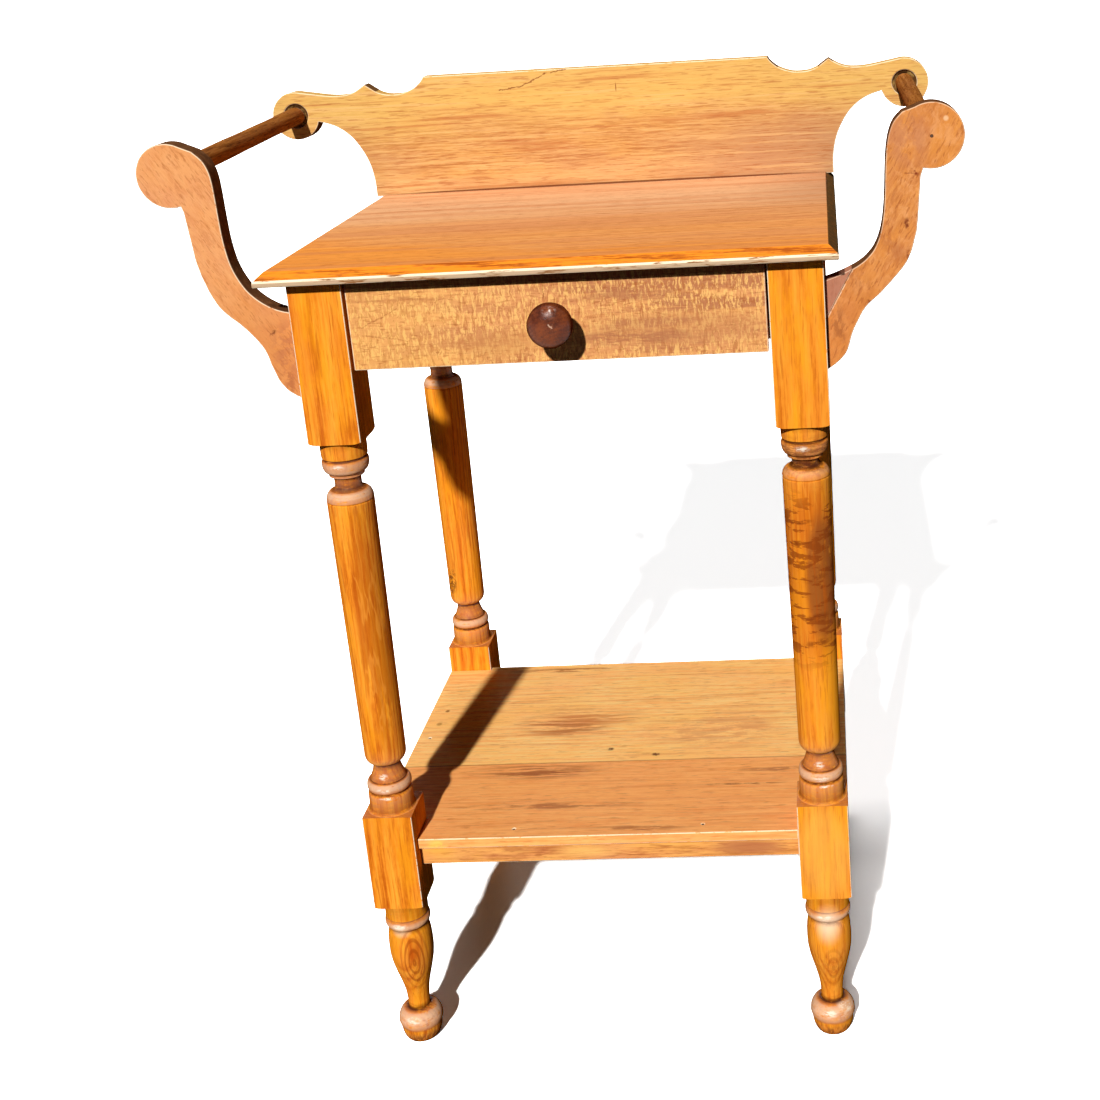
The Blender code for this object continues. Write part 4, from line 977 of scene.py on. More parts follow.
def topZones(finish, colour, tint, stretched):
    # the boards behind the joint are pinker, a painted sheen that is darker at the right rear corner; the front one
    # is more orange, and the front bevel has dark-streaked orange flames
    depth = finish.along("Y")
    ripple = finish.cloud(stretched(30, 3, (0.2, 0.8, 0.5)), 4, 0.6)
    shifted = finish.math("MULTIPLY_ADD", ripple, 0.06, depth)
    # painted sheen: a paler pink laid over the rear boards
    rearSheen = finish.levels(shifted, -0.06, 0.13)
    colour = finish.over(colour, rearSheen, 0.8, tone(228, 178, 134))
    across = finish.along("X")
    slant = finish.math("MULTIPLY_ADD", across, 0.45, shifted)
    front = finish.math("MAXIMUM", finish.levels(slant, -0.1, -0.16), finish.levels(shifted, -0.1, -0.145))
    colour = finish.over(colour, front, 0.75, finish.blend(tint, tone(222, 124, 38), tone(250, 164, 62)))
    corner = finish.times(finish.levels(across, 0.12, 0.24), rearSheen)
    colour = finish.over(colour, corner, 0.65, tone(186, 132, 94))
    step = finish.levels(depth, 0.0035, 0.0022)
    colour = finish.over(colour, step, 0.22, tone(224, 142, 74))
    bands = finish.cloud(stretched(46, 1.2, (1.4, 0.6, 0.2)), 3, 0.5)
    colour = finish.over(colour, finish.levels(bands, 0.5, 0.62), 0.4, tone(206, 132, 84))
    lines = finish.cloud(stretched(240, 3.5, (0.9, 0.3, 0.7)), 4, 0.6)
    colour = finish.over(colour, finish.levels(lines, 0.56, 0.66), 0.4, tone(176, 100, 54))
    flames = finish.blend(finish.levels(tint, 0.15, 0.6), tone(150, 66, 6), tone(226, 130, 28))
    colour = finish.over(colour, finish.attribute("bevel"), 0.9, flames)
    nose = finish.levels(depth, -0.1868, -0.188)
    return finish.over(colour, nose, 0.9, tone(124, 84, 50))


topMarks = [
    paintedSpot((-0.15, -0.18, 0.7345), (0.006, 0.006, 0.0014), (60, 28, 10), 0.8),
    paintedSpot((0, 0.1868, 0.7381), (0.3, 0.0022, 0.002), (110, 56, 28), 0.8, edge=0.6),
]
topLook = dict(
    boardLook, deep=(184, 106, 54), mid=(226, 150, 86), pale=(240, 176, 108), rosy=(216, 142, 100),
    rosyShare=0.45, golden=(236, 160, 76), goldenShare=0.4, pith=(0, 0.4, 0.5), blotchGrain=(14, 2.5),
    streakGrain=(380, 8), ringShare=0.2, dashGrain=(330, 40), wearBreak=(0.36, 0.46), wearShare=0.95,
    worn=(255, 234, 200),
    sawn=(78, 62, 38), shine=0.02, gloss=(0.42, 0.55), wearScale=(38, 150, 420), depth=0.94,
)
makeTop()
print("top board made")


boardShape = {
    "thickness": 0.019, "height": 0.1156, "inset": 0.0069, "housing": 0.0015, "earReach": 0.0961, "earRadius": 0.0236,
    "earHeight": 0.0839, "arris": 0.0009,
    "neck": (
        (0.0, 0.0), (0.003, 0.12), (0.02, 0.225), (0.057, 0.33), (0.12, 0.435), (0.205, 0.53), (0.31, 0.6),
        (0.41, 0.64), (0.505, 0.663),
    ),
    "earTurn": (197, 465),
    "crest": (
        (0.61, 0.912), (0.51, 0.898), (0.41, 0.885), (0.31, 0.878), (0.205, 0.882), (0.125, 0.899), (0.05, 0.93),
        (-0.007, 0.962),
    ),
    "scoop": (
        (-0.007, 0.962), (-0.07, 0.926), (-0.135, 0.89), (-0.21, 0.869), (-0.285, 0.863), (-0.37, 0.866),
        (-0.45, 0.884), (-0.525, 0.912), (-0.58, 0.948), (-0.62, 0.985), (-0.63, 1.0),
    ),
}
barShape = {
    "mouthRim": 0.00005, "steps": 24, "waves": 0.0002, "longWave": 0.00012, "shortWave": 0.00008, "tipRound": 0.0035,
    "tipWearAndHighlight": (0.004, 0.0003),
    "radius": 0.0088, "tenon": 0.0065, "frontSeat": 0.0015, "frontSocket": 0.01, "backSocket": 0.012,
    "mouth": 0.0118, "mouthDepth": 0.003, "mouthEase": 0.0012,
}
armShape = {
    "bradReach": 0.002, "cornerArris": 0.0006,
    "thickness": 0.019, "setback": 0.0145, "reach": 0.1133, "height": 0.2099, "drop": 0.0957, "disc": 0.0259,
    "arris": 0.001, "footGap": 0.00003, "bradHole": 0.0014, "bradDepth": 0.0184,
    "leftOuter": (
        (0.0, -0.03), (0.06, -0.013), (0.112, 0.005), (0.146, 0.022), (0.189, 0.056), (0.21, 0.089), (0.231, 0.122),
        (0.245, 0.155), (0.268, 0.188), (0.307, 0.221), (0.357, 0.255), (0.414, 0.288), (0.485, 0.322),
        (0.541, 0.355),
        (0.576, 0.388), (0.603, 0.42), (0.623, 0.453), (0.643, 0.485), (0.656, 0.517), (0.668, 0.548), (0.678, 0.61),
        (0.689, 0.673), (0.699, 0.735),
    ),
    "rightOuter": (
        (0.0, 0.004), (0.019, 0.009), (0.092, 0.039), (0.137, 0.069), (0.16, 0.1), (0.177, 0.132), (0.2, 0.163),
        (0.23, 0.193), (0.261, 0.224), (0.305, 0.254), (0.37, 0.283), (0.427, 0.313), (0.478, 0.342), (0.528, 0.372),
        (0.571, 0.401), (0.601, 0.431), (0.623, 0.461), (0.638, 0.491), (0.654, 0.521), (0.662, 0.551),
        (0.668, 0.581),
        (0.673, 0.611), (0.678, 0.641), (0.683, 0.67), (0.688, 0.7), (0.693, 0.729),
    ),
    "leftInner": (
        (0.575, 0.965), (0.51, 0.93), (0.475, 0.89), (0.46, 0.845), (0.454, 0.78), (0.45, 0.7), (0.44, 0.605),
        (0.41, 0.515), (0.345, 0.438), (0.27, 0.39), (0.18, 0.355), (0.09, 0.335), (0.0, 0.325),
    ),
    "rightInner": (
        (0.577, 0.97), (0.52, 0.938), (0.487, 0.9), (0.467, 0.855), (0.455, 0.8), (0.448, 0.74), (0.441, 0.67),
        (0.428, 0.595), (0.403, 0.525), (0.362, 0.47), (0.31, 0.434), (0.247, 0.407), (0.17, 0.385), (0.085, 0.366),
        (0.0, 0.351),
    ),
    "discTurn": (-105, 118), "wedgeFoot": 0.2, "wedgeTop": (0.185, 0.377), "wedgeSide": 0.195,
}
boardFront = backY - boardShape["inset"] - boardShape["thickness"]
earX = topHalf + boardShape["earReach"] - boardShape["earRadius"]
earZ = stand["height"] + boardShape["earHeight"]
armBottom = underTop - armShape["drop"]
armFront = frontY + armShape["setback"]
discX = halfWidth + armShape["reach"] - armShape["disc"]
discZ = armBottom + armShape["height"] - armShape["disc"]


def barLine(side):
    start = Vector((legsX + side * discX, armFront + armShape["thickness"], discZ))
    end = Vector((topX + side * earX, boardFront, earZ))
    return start, end, (end - start).normalized()


def boardOutline():
    s = boardShape

    def placed(shares):
        return [(topHalf + x * s["earReach"], stand["height"] + z * s["height"]) for x, z in shares]

    foot = [(topHalf, stand["height"] - s["housing"] + seatGap)]
    ear = arcPoints((earX, earZ), s["earRadius"], *s["earTurn"], 48)
    crest = smoothPoints(placed(s["crest"]))
    scoop = smoothPoints(placed(s["scoop"]), 4)
    rightHalf = thinned(foot + smoothPoints(placed(s["neck"])) + ear + crest, pointGap) + thinned(scoop[1:], pointGap)
    leftHalf = [(-x, z) for x, z in reversed(rightHalf)]
    return [(topX + x, z) for x, z in rightHalf + leftHalf]


def roundFaceEdges(bm, nearY, farY, width, segments=3, slack=0.00002):
    # rounds only the arrises between the flat faces and the sawn edge
    def onFace(edge):
        first, second = (vert.co.y for vert in edge.verts)
        return abs(first - second) < weldDistance and min(abs(first - nearY), abs(first - farY)) < slack

    return easeEdges(bm, width, segments, chosen=onFace)


def mouthTool(end, direction):
    # the hole for a bar's tenon, with its wider mouth and an eased rim
    s = barShape
    hole = Turning(-toolReach)
    hole.step(s["mouth"] + s["mouthEase"])
    hole.riseTo(s["mouthRim"])
    hole.closeIn(s["mouthEase"], s["mouth"], 4)
    hole.riseTo(s["mouthDepth"])
    hole.step(s["tenon"] + seatGap)
    hole.riseTo(s["backSocket"] + tenonSpace)
    tool = spunMesh(hole.close(), 48)
    # the eased rim is marked worn, a pale ring that also stands for a painted highlight
    layer = tool.loops.layers.float.new("wear")
    for face in tool.faces:
        worn = 1.0 if face.calc_center_median().z < s["mouthEase"] * 0.98 else 0.0
        for loop in face.loops:
            loop[layer] = worn
    # the walls inside the hole are darkened as painted shade
    mark(tool, [face for face in tool.faces if face.calc_center_median().z > s["mouthEase"]], "grime")
    return aimed(tool, end, direction)


def makeBackBoard():
    board = slabMesh(boardOutline(), boardFront, boardFront + boardShape["thickness"])
    mark(board, [face for face in board.faces if abs(face.normal.y) < 0.5 and face.normal.z < 0.85], "sawn")
    roundFaceEdges(board, boardFront, boardFront + boardShape["thickness"], boardShape["arris"])
    tools = [mouthTool(*barLine(side)[1:]) for side in (-1, 1)]
    tools += [nodeMesh("back_board_dowel_" + number) for number in "1234"]
    material = wood("back board wood", backLook, backMarks, boardZones)
    addPiece("backBoard", carved(board, tools), material, ["back_board"])


def boardZones(finish, colour, tint, stretched):
    # golden along the top, pinker in the middle and to the right, pale streaks along the foot
    place = finish.node("ShaderNodeSeparateXYZ", {"Vector": finish.place}).outputs
    ripple = finish.cloud(stretched(22, 7, (0.4, 0.8, 0.1)), 4, 0.65)
    height = finish.math("MULTIPLY_ADD", ripple, 0.05, place["Z"])
    colour = finish.over(colour, finish.levels(height, 0.81, 0.85), 0.65, tone(232, 190, 104))
    aside = finish.levels(finish.math("MULTIPLY_ADD", ripple, 0.2, place["X"]), 0.1, 0.26)
    low = finish.levels(height, 0.83, 0.79)
    foot = finish.levels(height, 0.79, 0.765)
    colour = finish.over(colour, foot, 0.5, tone(230, 180, 124))
    pink = finish.times(aside, low)
    colour = finish.over(colour, pink, 0.75, tone(188, 134, 96))
    long = finish.cloud(stretched(190, 5, (0.1, 0.5, 0.6)), 4, 0.6)
    colour = finish.over(colour, finish.levels(long, 0.55, 0.66), 0.6, tone(190, 116, 64))
    return finish.over(colour, finish.levels(long, 0.46, 0.34), 0.4, tone(238, 192, 128))


backLook = dict(
    boardLook, mid=(208, 150, 90), pale=(228, 182, 116), deep=(172, 106, 56), rosy=(200, 142, 98), rosyShare=0.4,
    golden=(224, 168, 86), goldenShare=0.4, streakGrain=(520, 18), contrast=0.34, ringShare=0.05,
    poreGrain=(900, 50), poreLimit=0.58, poreShare=0.5, pore=(172, 98, 54), dashGrain=(480, 32), dashShare=0.35,
    sawn=(104, 66, 38),
)
crack = ((-0.099, 0.8362), (-0.0771, 0.8388), (-0.0636, 0.844), (-0.0511, 0.85), (-0.03, 0.853))
backMarks = [
    scratch((x0, boardFront, z0), (x1, boardFront, z1), 0.0009, (128, 62, 34), 0.8)
    for (x0, z0), (x1, z1) in zip(crack, crack[1:])
]
backMarks.append(paintedSpot((-0.002, boardFront, 0.7385), (0.236, 0.003, 0.0014), (110, 52, 28), 0.85, edge=0.7))
backMarks.append(paintedSpot((0.018, boardFront, 0.833), (0.0008, 0.003, 0.006), (140, 72, 36), 0.8))
makeBackBoard()
print("back board made")


def armOutline(side):
    s = armShape
    word = "right" if side > 0 else "left"

    def placed(shares):
        return [(halfWidth + x * s["reach"], armBottom + z * s["height"]) for x, z in shares]

    disc = arcPoints((discX, discZ), s["disc"], *s["discTurn"], 52)
    points = smoothPoints(placed(s[word + "Outer"]), 3) + disc + smoothPoints(placed(s[word + "Inner"]))
    foot = halfWidth + s["footGap"]
    return [(legsX + side * x, z) for x, z in thinned([(max(x, foot), z) for x, z in points], pointGap)]


def armWood(word):
    return wood(word + " arm wood", armLooks[word], armMarks[word], armBlotches)


def wedgeTool(shift):
    s = armShape
    slope = (s["wedgeTop"][1] - s["wedgeFoot"]) * s["height"] / (s["wedgeTop"][0] * s["reach"])
    inner = halfWidth - toolReach
    outer = halfWidth + s["wedgeSide"] * s["reach"]
    base = armBottom + s["wedgeFoot"] * s["height"] + shift
    ceiling = armBottom + s["height"]
    outline = [
        (inner, base + slope * (inner - halfWidth)), (outer, base + slope * (outer - halfWidth)), (outer, ceiling),
        (inner, ceiling),
    ]
    return slabMesh([(legsX + x, z) for x, z in outline], armFront - toolReach, armFront + s["thickness"] + toolReach)


def makeArms():
    s = armShape
    back = armFront + s["thickness"]
    for side, word in ((-1, "left"), (1, "right")):
        start, end, direction = barLine(side)
        arm = slabMesh(armOutline(side), armFront, back)
        mark(arm, [face for face in arm.faces if abs(face.normal.y) < 0.5], "sawn")
        tools = [nodeMesh("bracket_dowel_" + word + "_lower"), nodeMesh("bracket_dowel_" + word + "_upper")]
        if side > 0:
            arm = carved(arm, [wedgeTool(0)])
        roundFaceEdges(arm, armFront, back, s["arris"])
        seat = Turning(-barShape["frontSocket"] - tenonSpace)
        seat.step(barShape["tenon"] + seatGap)
        seat.riseTo(-barShape["frontSeat"])
        seat.step(barShape["radius"] + seatGap)
        seat.riseTo(toolReach)
        tools.append(aimed(spunMesh(seat.close(), 48), start, direction))
        if side > 0:
            # the brad is sunk below the surface, and on the left it is filled over
            hole = Turning(-s["bradReach"])
            hole.step(s["bradHole"])
            hole.riseTo(s["bradDepth"])
            tools.append(
                aimed(spunMesh(hole.close(), 20), start - direction * s["thickness"] / direction.y, direction)
            )
        else:
            tools.append(nodeMesh("towel_bar_brad_left"))
        nodes = ["towel_bracket_" + word]
        addPiece(word + "TowelArm", carved(arm, tools), armWood(word), nodes)
    corner = carved(slabMesh(armOutline(1), armFront, back), [wedgeTool(2 * seatGap)], "INTERSECT")
    roundFaceEdges(corner, armFront, back, s["cornerArris"])
    corner = carved(corner, [nodeMesh("bracket_dowel_right_upper")])
    addPiece("rightArmCorner", corner, wood("corner piece wood", cornerLook), ["bracket_corner_right"])


def armBlotches(finish, colour, tint, stretched):
    # cloudy patches and short slanting strokes in place of a clear grain
    cloudy = finish.cloud(finish.mapped((95, 95, 70), (0.3, 0.9, 0.2)), 5, 0.7, 0.5)
    colour = finish.over(colour, finish.levels(cloudy, 0.46, 0.62), 0.5, tone(238, 168, 108))
    height = finish.along("Z")
    low = finish.levels(height, 0.76, 0.66)
    colour = finish.over(colour, low, 0.6, tone(212, 130, 62))
    strokes = finish.cloud(stretched(260, 60, (0.6, 0.6, 0.1)), 4, 0.7, 0.4)
    return finish.over(colour, finish.levels(strokes, 0.54, 0.66), 0.32, tone(190, 116, 70))


armLook = dict(
    boardLook, grain="Z", ringShare=0.0, contrast=0.55, mid=(228, 156, 102), pale=(244, 182, 122),
    deep=(198, 122, 70),
    rosy=(224, 148, 102), golden=(238, 158, 84), goldenShare=0.35, blotchGrain=(34, 22),
    streakGrain=(230, 40), fibreGrain=(900, 160), poreGrain=(620, 120), poreShare=0.35,
    worn=(255, 232, 200), sawn=(88, 56, 34),
)
armLooks = {
    "left": dict(armLook, lean=(0, 32, 0)),
    "right": dict(
        armLook, lean=(0, -28, 0), mid=(210, 134, 74), pale=(232, 162, 94), deep=(168, 96, 48),
        rosy=(196, 118, 72), rosyShare=0.65, golden=(228, 146, 64), goldenShare=0.6, contrast=0.42, poreShare=0.5,
        wearShare=0.45,
    ),
}
cornerLook = dict(
    armLook, mid=(182, 122, 96), pale=(196, 138, 112), deep=(160, 100, 76), rosy=(176, 114, 94),
    golden=(188, 126, 96),
    streakGrain=(160, 30), contrast=0.7, dashShare=0.1, poreShare=0.15, wearShare=0.35, pith=(0.3, 0.3, 0),
)
onArm = paintedSpotsOn(-0.1599)
armMarks = {
    "left": [
        onArm(-0.2331, 0.683, 0.0045, 0.0022, (92, 44, 24), 0.8, ragged=300, turn=(0, 40, 0)),
        onArm(-0.2235, 0.668, 0.016, 0.034, (186, 112, 74), 0.6, ragged=120),
        onArm(-0.225, 0.64, 0.006, 0.02, (168, 92, 56), 0.6, ragged=160),
    ],
    "right": [
        onArm(0.2838, 0.747, 0.0035, 0.006, (112, 44, 24), 0.85, ragged=200),
        onArm(0.285, 0.7215, 0.0035, 0.006, (120, 48, 26), 0.85, ragged=200),
        onArm(0.2535, 0.6837, 0.006, 0.003, (112, 46, 26), 0.85, ragged=200, turn=(0, -45, 0)),
        onArm(0.2905, 0.787, 0.006, 0.0022, (130, 54, 30), 0.8, ragged=240, turn=(0, -40, 0)),
        onArm(0.284, 0.815, 0.026, 0.03, (194, 124, 84), 0.55, ragged=60),
        onArm(0.242, 0.705, 0.012, 0.03, (158, 92, 56), 0.45, edge=0.2, ragged=(90, 90, 45), turn=(0, 35, 0)),
        onArm(0.226, 0.67, 0.01, 0.034, (134, 74, 44), 0.5, edge=0.2, ragged=(90, 90, 45), turn=(0, 12, 0)),
        onArm(0.272, 0.73, 0.01, 0.03, (160, 84, 48), 0.45, edge=0.2, ragged=(90, 90, 45), turn=(0, 30, 0)),
        # a painted shadow of the leg on the arm beside it
        onArm(0.2172, 0.668, 0.0022, 0.05, (70, 16, 14), 0.9),
        onArm(0.3158, 0.8272, 0.0028, 0.0028, (250, 206, 160), 0.7),
        scratch((0.2933, -0.1599, 0.786), (0.2833, -0.1599, 0.7866), 0.0006, (122, 44, 26), 0.7),
    ],
}
makeArms()
print("towel arms made")


def makeBars():
    s = barShape
    for side, word in ((-1, "left"), (1, "right")):
        start, end, direction = barLine(side)
        length = (end - start).length
        body = Turning(-s["frontSocket"])
        body.step(s["tenon"])
        body.riseTo(seatGap - s["frontSeat"])
        body.step(s["radius"])
        tip = length + s["mouthDepth"] - seatGap
        for step in range(1, s["steps"]):
            share = step / s["steps"]
            wobble = s["longWave"] * sin(9 * share + side) + s["shortWave"] * sin(23 * share)
            body.riseTo(tip * share, s["radius"] - s["waves"] + wobble)
        body.riseTo(tip - s["tipRound"], s["radius"])
        body.closeIn(s["tipRound"], s["tenon"], 6)
        body.riseTo(length + s["backSocket"])
        outline = softened(body.close(), fineEdge)
        bar = spunMesh(outline, 48)
        # a pale worn ring on the rounded shoulder, which also stands for a painted highlight
        wornFrom, wornTo = (tip - depth for depth in s["tipWearAndHighlight"])
        mark(bar, [face for face in bar.faces if wornFrom < face.calc_center_median().z < wornTo], "wear")
        bar = carved(aimed(bar, start, direction), [nodeMesh("towel_bar_brad_" + word)])
        addPiece(word + "TowelBar", bar, wood(word + " bar wood", barLook), ["towel_bar_" + word])


barLook = dict(
    boardLook, grain="Y", deep=(78, 38, 14), mid=(152, 90, 40), pale=(190, 126, 68), rosy=(138, 80, 44),
    golden=(174, 108, 40), worn=(248, 198, 168), pith=(0.05, 0, 0.05), ringShare=0.1, poreShare=0.5,
    pore=(80, 40, 18),
    dash=(104, 56, 28), blotchGrain=(60, 14), wearBreak=(0.25, 0.4), shine=0.01, gloss=(0.46, 0.58),
)
makeBars()
print("towel bars made")


drawerShape = {
    "knobRadius": 0.0178, "knobBase": 0.0105, "knobNeck": 0.008, "neckReach": 0.013, "flareReach": 0.014,
    "rimReach": 0.006, "domeReach": 0.009, "frontArris": 0.001, "boardArris": 0.0008, "bottomArris": 0.0003,
    "sideEase": 0.0004, "knobFoot": 0.0015, "neckSteps": (0.15, 0.35, 0.6, 0.8, 1.0),
    "rimTaper": 0.995, "domeSteps": 16,
}


def easedNode(name, node, material, width, body="stand", segments=2, slimmer=0.0):
    # a board of the CAD with its arrises rounded
    bm = nodeMesh(node)
    bmesh.ops.dissolve_limit(bm, angle_limit=radians(1), verts=bm.verts, edges=bm.edges)
    if slimmer:
        low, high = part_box(node)
        middle = (low.x + high.x) / 2
        for vert in bm.verts:
            vert.co.x = middle + (vert.co.x - middle) * (1 - 2 * slimmer / (high.x - low.x))
    easeEdges(bm, width, segments)
    bmesh.ops.recalc_face_normals(bm, faces=bm.faces)
    return addPiece(name, bm, material, [node], body)


def makeKnob():
    s = drawerShape
    low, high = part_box("drawer_front")
    knobLow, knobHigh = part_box("drawer_knob")
    seat = Vector(((knobLow.x + knobHigh.x) / 2, knobHigh.y, (knobLow.z + knobHigh.z) / 2))
    body = Turning()
    body.step(s["knobBase"])
    body.rise(s["knobFoot"])
    for share in s["neckSteps"]:
        height = s["knobFoot"] + (s["neckReach"] - s["knobFoot"]) * share
        body.riseTo(height, s["knobBase"] + (s["knobNeck"] - s["knobBase"]) * sin(pi / 2 * share))
    body.sweep(s["flareReach"], s["knobRadius"], 16)
    body.rise(s["rimReach"] / 2, s["knobRadius"])
    body.rise(s["rimReach"] / 2, s["knobRadius"] * s["rimTaper"])
    dome = body.points[-1][1]
    for step in range(1, s["domeSteps"] + 1):
        turn = pi / 2 * step / s["domeSteps"]
        body.riseTo(dome + s["domeReach"] * sin(turn), s["knobRadius"] * s["rimTaper"] * cos(turn))
    outline = softened(body.points[:-1] + [(0.0, body.points[-1][1])], fineEdge)
    knob = spunMesh(outline, 64)
    # the foot and neck under the cap are darkened
    mark(knob, [face for face in knob.faces if face.calc_center_median().z < s["neckReach"]], "grime", 0.7)
    knob = carved(aimed(knob, seat, (0, -1, 0)), [nodeMesh("knob_screw")])
    addPiece("drawerKnob", knob, wood("knob wood", knobLook, knobMarks), ["drawer_knob"], "drawer")


knobLook = dict(
    boardLook, grain="Y", deep=(38, 14, 6), mid=(92, 42, 20), pale=(134, 68, 32), rosy=(100, 42, 26),
    golden=(142, 70, 32),
    pore=(38, 12, 8), poreShare=0.4, dash=(52, 18, 10), worn=(176, 110, 84), grime=(22, 6, 4), pith=(0.02, 0, 0.66),
    ringGap=0.003,
    streakGrain=(160, 30), gloss=(0.24, 0.32), shine=0.12, relief=0.2, wearShare=0.3,
)
knobMarks = [
    # two painted highlights on the dome, then two scratches
    paintedSpot((0.0042, -0.211, 0.7022), (0.007, 0.006, 0.0036), (255, 240, 228), 0.75, edge=0.1, ragged=(160, 160, 90)),
    paintedSpot((0.0, -0.2062, 0.7125), (0.0125, 0.011, 0.0056), (255, 240, 232), 0.95, edge=0.5),
    scratch((0.0035, -0.2135, 0.6925), (0.006, -0.2135, 0.689), 0.0007, (214, 176, 150), 0.85),
    scratch((0.0065, -0.2135, 0.6925), (0.005, -0.2135, 0.6885), 0.0005, (190, 140, 112), 0.7),
]


def drawerFlecks(finish, colour, tint, stretched):
    # pale upright flecks over the whole face, browner bands along it and a yellower left half
    place = finish.node("ShaderNodeSeparateXYZ", {"Vector": finish.place}).outputs
    bands = finish.cloud(stretched(100, 10, (0.2, 0.4, 0.9)), 4, 0.62)
    right = finish.levels(place["X"], -0.03, 0.04, 0.35, 0.95)
    brown = finish.times(finish.levels(bands, 0.46, 0.58), right)
    colour = finish.blend(brown, colour, tone(186, 120, 80))
    flecks = finish.cloud(finish.mapped((410, 410, 115), (0.4, 0.2, 0.1)), 4, 0.66, 0.8)
    colour = finish.over(colour, finish.levels(flecks, 0.49, 0.57), 0.78, tone(252, 198, 118))
    strokes = finish.cloud(finish.mapped((400, 400, 95), (0.9, 0.7, 0.5)), 4, 0.66, 0.8)
    colour = finish.over(colour, finish.levels(strokes, 0.53, 0.6), 0.66, tone(178, 106, 60))
    golden = finish.levels(finish.math("ADD", place["X"], finish.times(bands, 0.12)), 0.02, -0.06)
    colour = finish.over(colour, golden, 0.22, tone(252, 190, 96))
    foot = finish.levels(place["Z"], 0.652, 0.646)
    return finish.over(colour, foot, 0.7, tone(255, 206, 128))


drawerLook = dict(
    boardLook, mid=(226, 156, 96), pale=(242, 178, 110), deep=(192, 120, 70), rosy=(214, 144, 98),
    rosyShare=0.4, golden=(244, 180, 96), goldenShare=0.4, pith=(0.1, 0.3, 0.4), ringShare=0.0, streakGrain=(300, 40),
    contrast=0.45, poreShare=0.4, poreGrain=(620, 120),
)
onDrawer = paintedSpotsOn(-0.1714)
drawerMarks = [
    # first a painted shadow of the top's overhang along the top of the front, then stains and scratches
    onDrawer(0.0, 0.7225, 0.3, 0.0062, (104, 36, 22), 0.7, edge=0.75),
    onDrawer(0.1, 0.674, 0.11, 0.02, (192, 128, 82), 0.5, edge=0.4),
    onDrawer(-0.045, 0.668, 0.05, 0.016, (200, 134, 80), 0.55, edge=0.3),
    onDrawer(0.066, 0.7035, 0.062, 0.0075, (176, 112, 76), 0.7, edge=0.3, ragged=(50, 50, 260)),
    onDrawer(0.064, 0.6685, 0.075, 0.009, (172, 108, 74), 0.7, edge=0.3, ragged=(50, 50, 260)),
    onDrawer(-0.12, 0.7085, 0.07, 0.0032, (178, 110, 66), 0.5, ragged=(60, 50, 300)),
    onDrawer(-0.064, 0.67, 0.05, 0.005, (192, 124, 76), 0.5, ragged=(60, 50, 300)),
    scratch((-0.156, -0.1714, 0.686), (-0.125, -0.1714, 0.701), 0.0007, (160, 92, 48), 0.6),
    scratch((-0.156, -0.1714, 0.68), (-0.12, -0.1714, 0.674), 0.0007, (166, 96, 52), 0.5),
    scratch((-0.006, -0.1714, 0.704), (-0.0062, -0.1714, 0.714), 0.0006, (150, 88, 50), 0.7),
]
rawLook = dict(
    boardLook, grain="Y", deep=(150, 104, 62), mid=(202, 156, 106), pale=(226, 186, 136), rosy=(190, 140, 96),
    golden=(222, 172, 108),
    rosyShare=0.4, goldenShare=0.4, worn=(236, 206, 168), gloss=(0.55, 0.75), shine=0.2, ringGap=0.005,
    pith=(0.1, 0, 0.4),
)


def makeDrawer():
    front = wood("drawer front wood", drawerLook, drawerMarks, drawerFlecks)
    easedNode(
        "drawerFront", "drawer_front", front, drawerShape["frontArris"], "drawer", 3,
        drawerShape["sideEase"],
    )
    raw = wood("drawer box wood", rawLook)
    for word in ("left", "right"):
        easedNode(word + "DrawerSide", "drawer_side_" + word, raw, drawerShape["boardArris"], "drawer")
    across = wood("drawer cross wood", dict(rawLook, grain="X", pith=(0, 0.3, 0.5)))
    easedNode("drawerBack", "drawer_back", across, drawerShape["boardArris"], "drawer")
    easedNode("drawerBottom", "drawer_bottom", across, drawerShape["bottomArris"], "drawer")
    makeKnob()


makeDrawer()
print("drawer made")


def shelfZones(finish, colour, tint, stretched):
    # two boards: the front one is browner, and a thin dark line runs between them
    depth = finish.along("Y")
    front = finish.levels(depth, -0.0362, -0.0385)
    colour = finish.over(colour, front, 0.72, finish.blend(tint, tone(226, 128, 62), tone(255, 176, 104)))
    joint = finish.levels(finish.math("ABSOLUTE", finish.math("ADD", depth, 0.0372)), 0.0011, 0.0004)
    colour = finish.over(colour, joint, 0.55, tone(120, 60, 34))
    lines = finish.cloud(stretched(150, 6, (0.9, 0.3, 0.7)), 4, 0.65)
    colour = finish.over(colour, finish.levels(lines, 0.54, 0.64), 0.45, tone(222, 138, 76))
    edge = finish.levels(depth, -0.1665, -0.1685)
    return finish.over(colour, edge, 0.75, tone(255, 214, 150))


shelfLook = dict(
    boardLook, deep=(246, 156, 84), mid=(255, 194, 114), pale=(255, 218, 146), rosy=(255, 180, 112), rosyShare=0.45,
    poreShare=0.35, dashShare=0.18, depth=1.0,
    golden=(255, 196, 104), pith=(0, 0.3, 0.0), blotchGrain=(20, 7), streakGrain=(360, 16), ringShare=0.08,
)


def onShelf(x, y, wide, deep, colour, share, **more):
    return paintedSpot((x, y, stand["shelf"]), (wide, deep, 0.004), colour, share, **more)


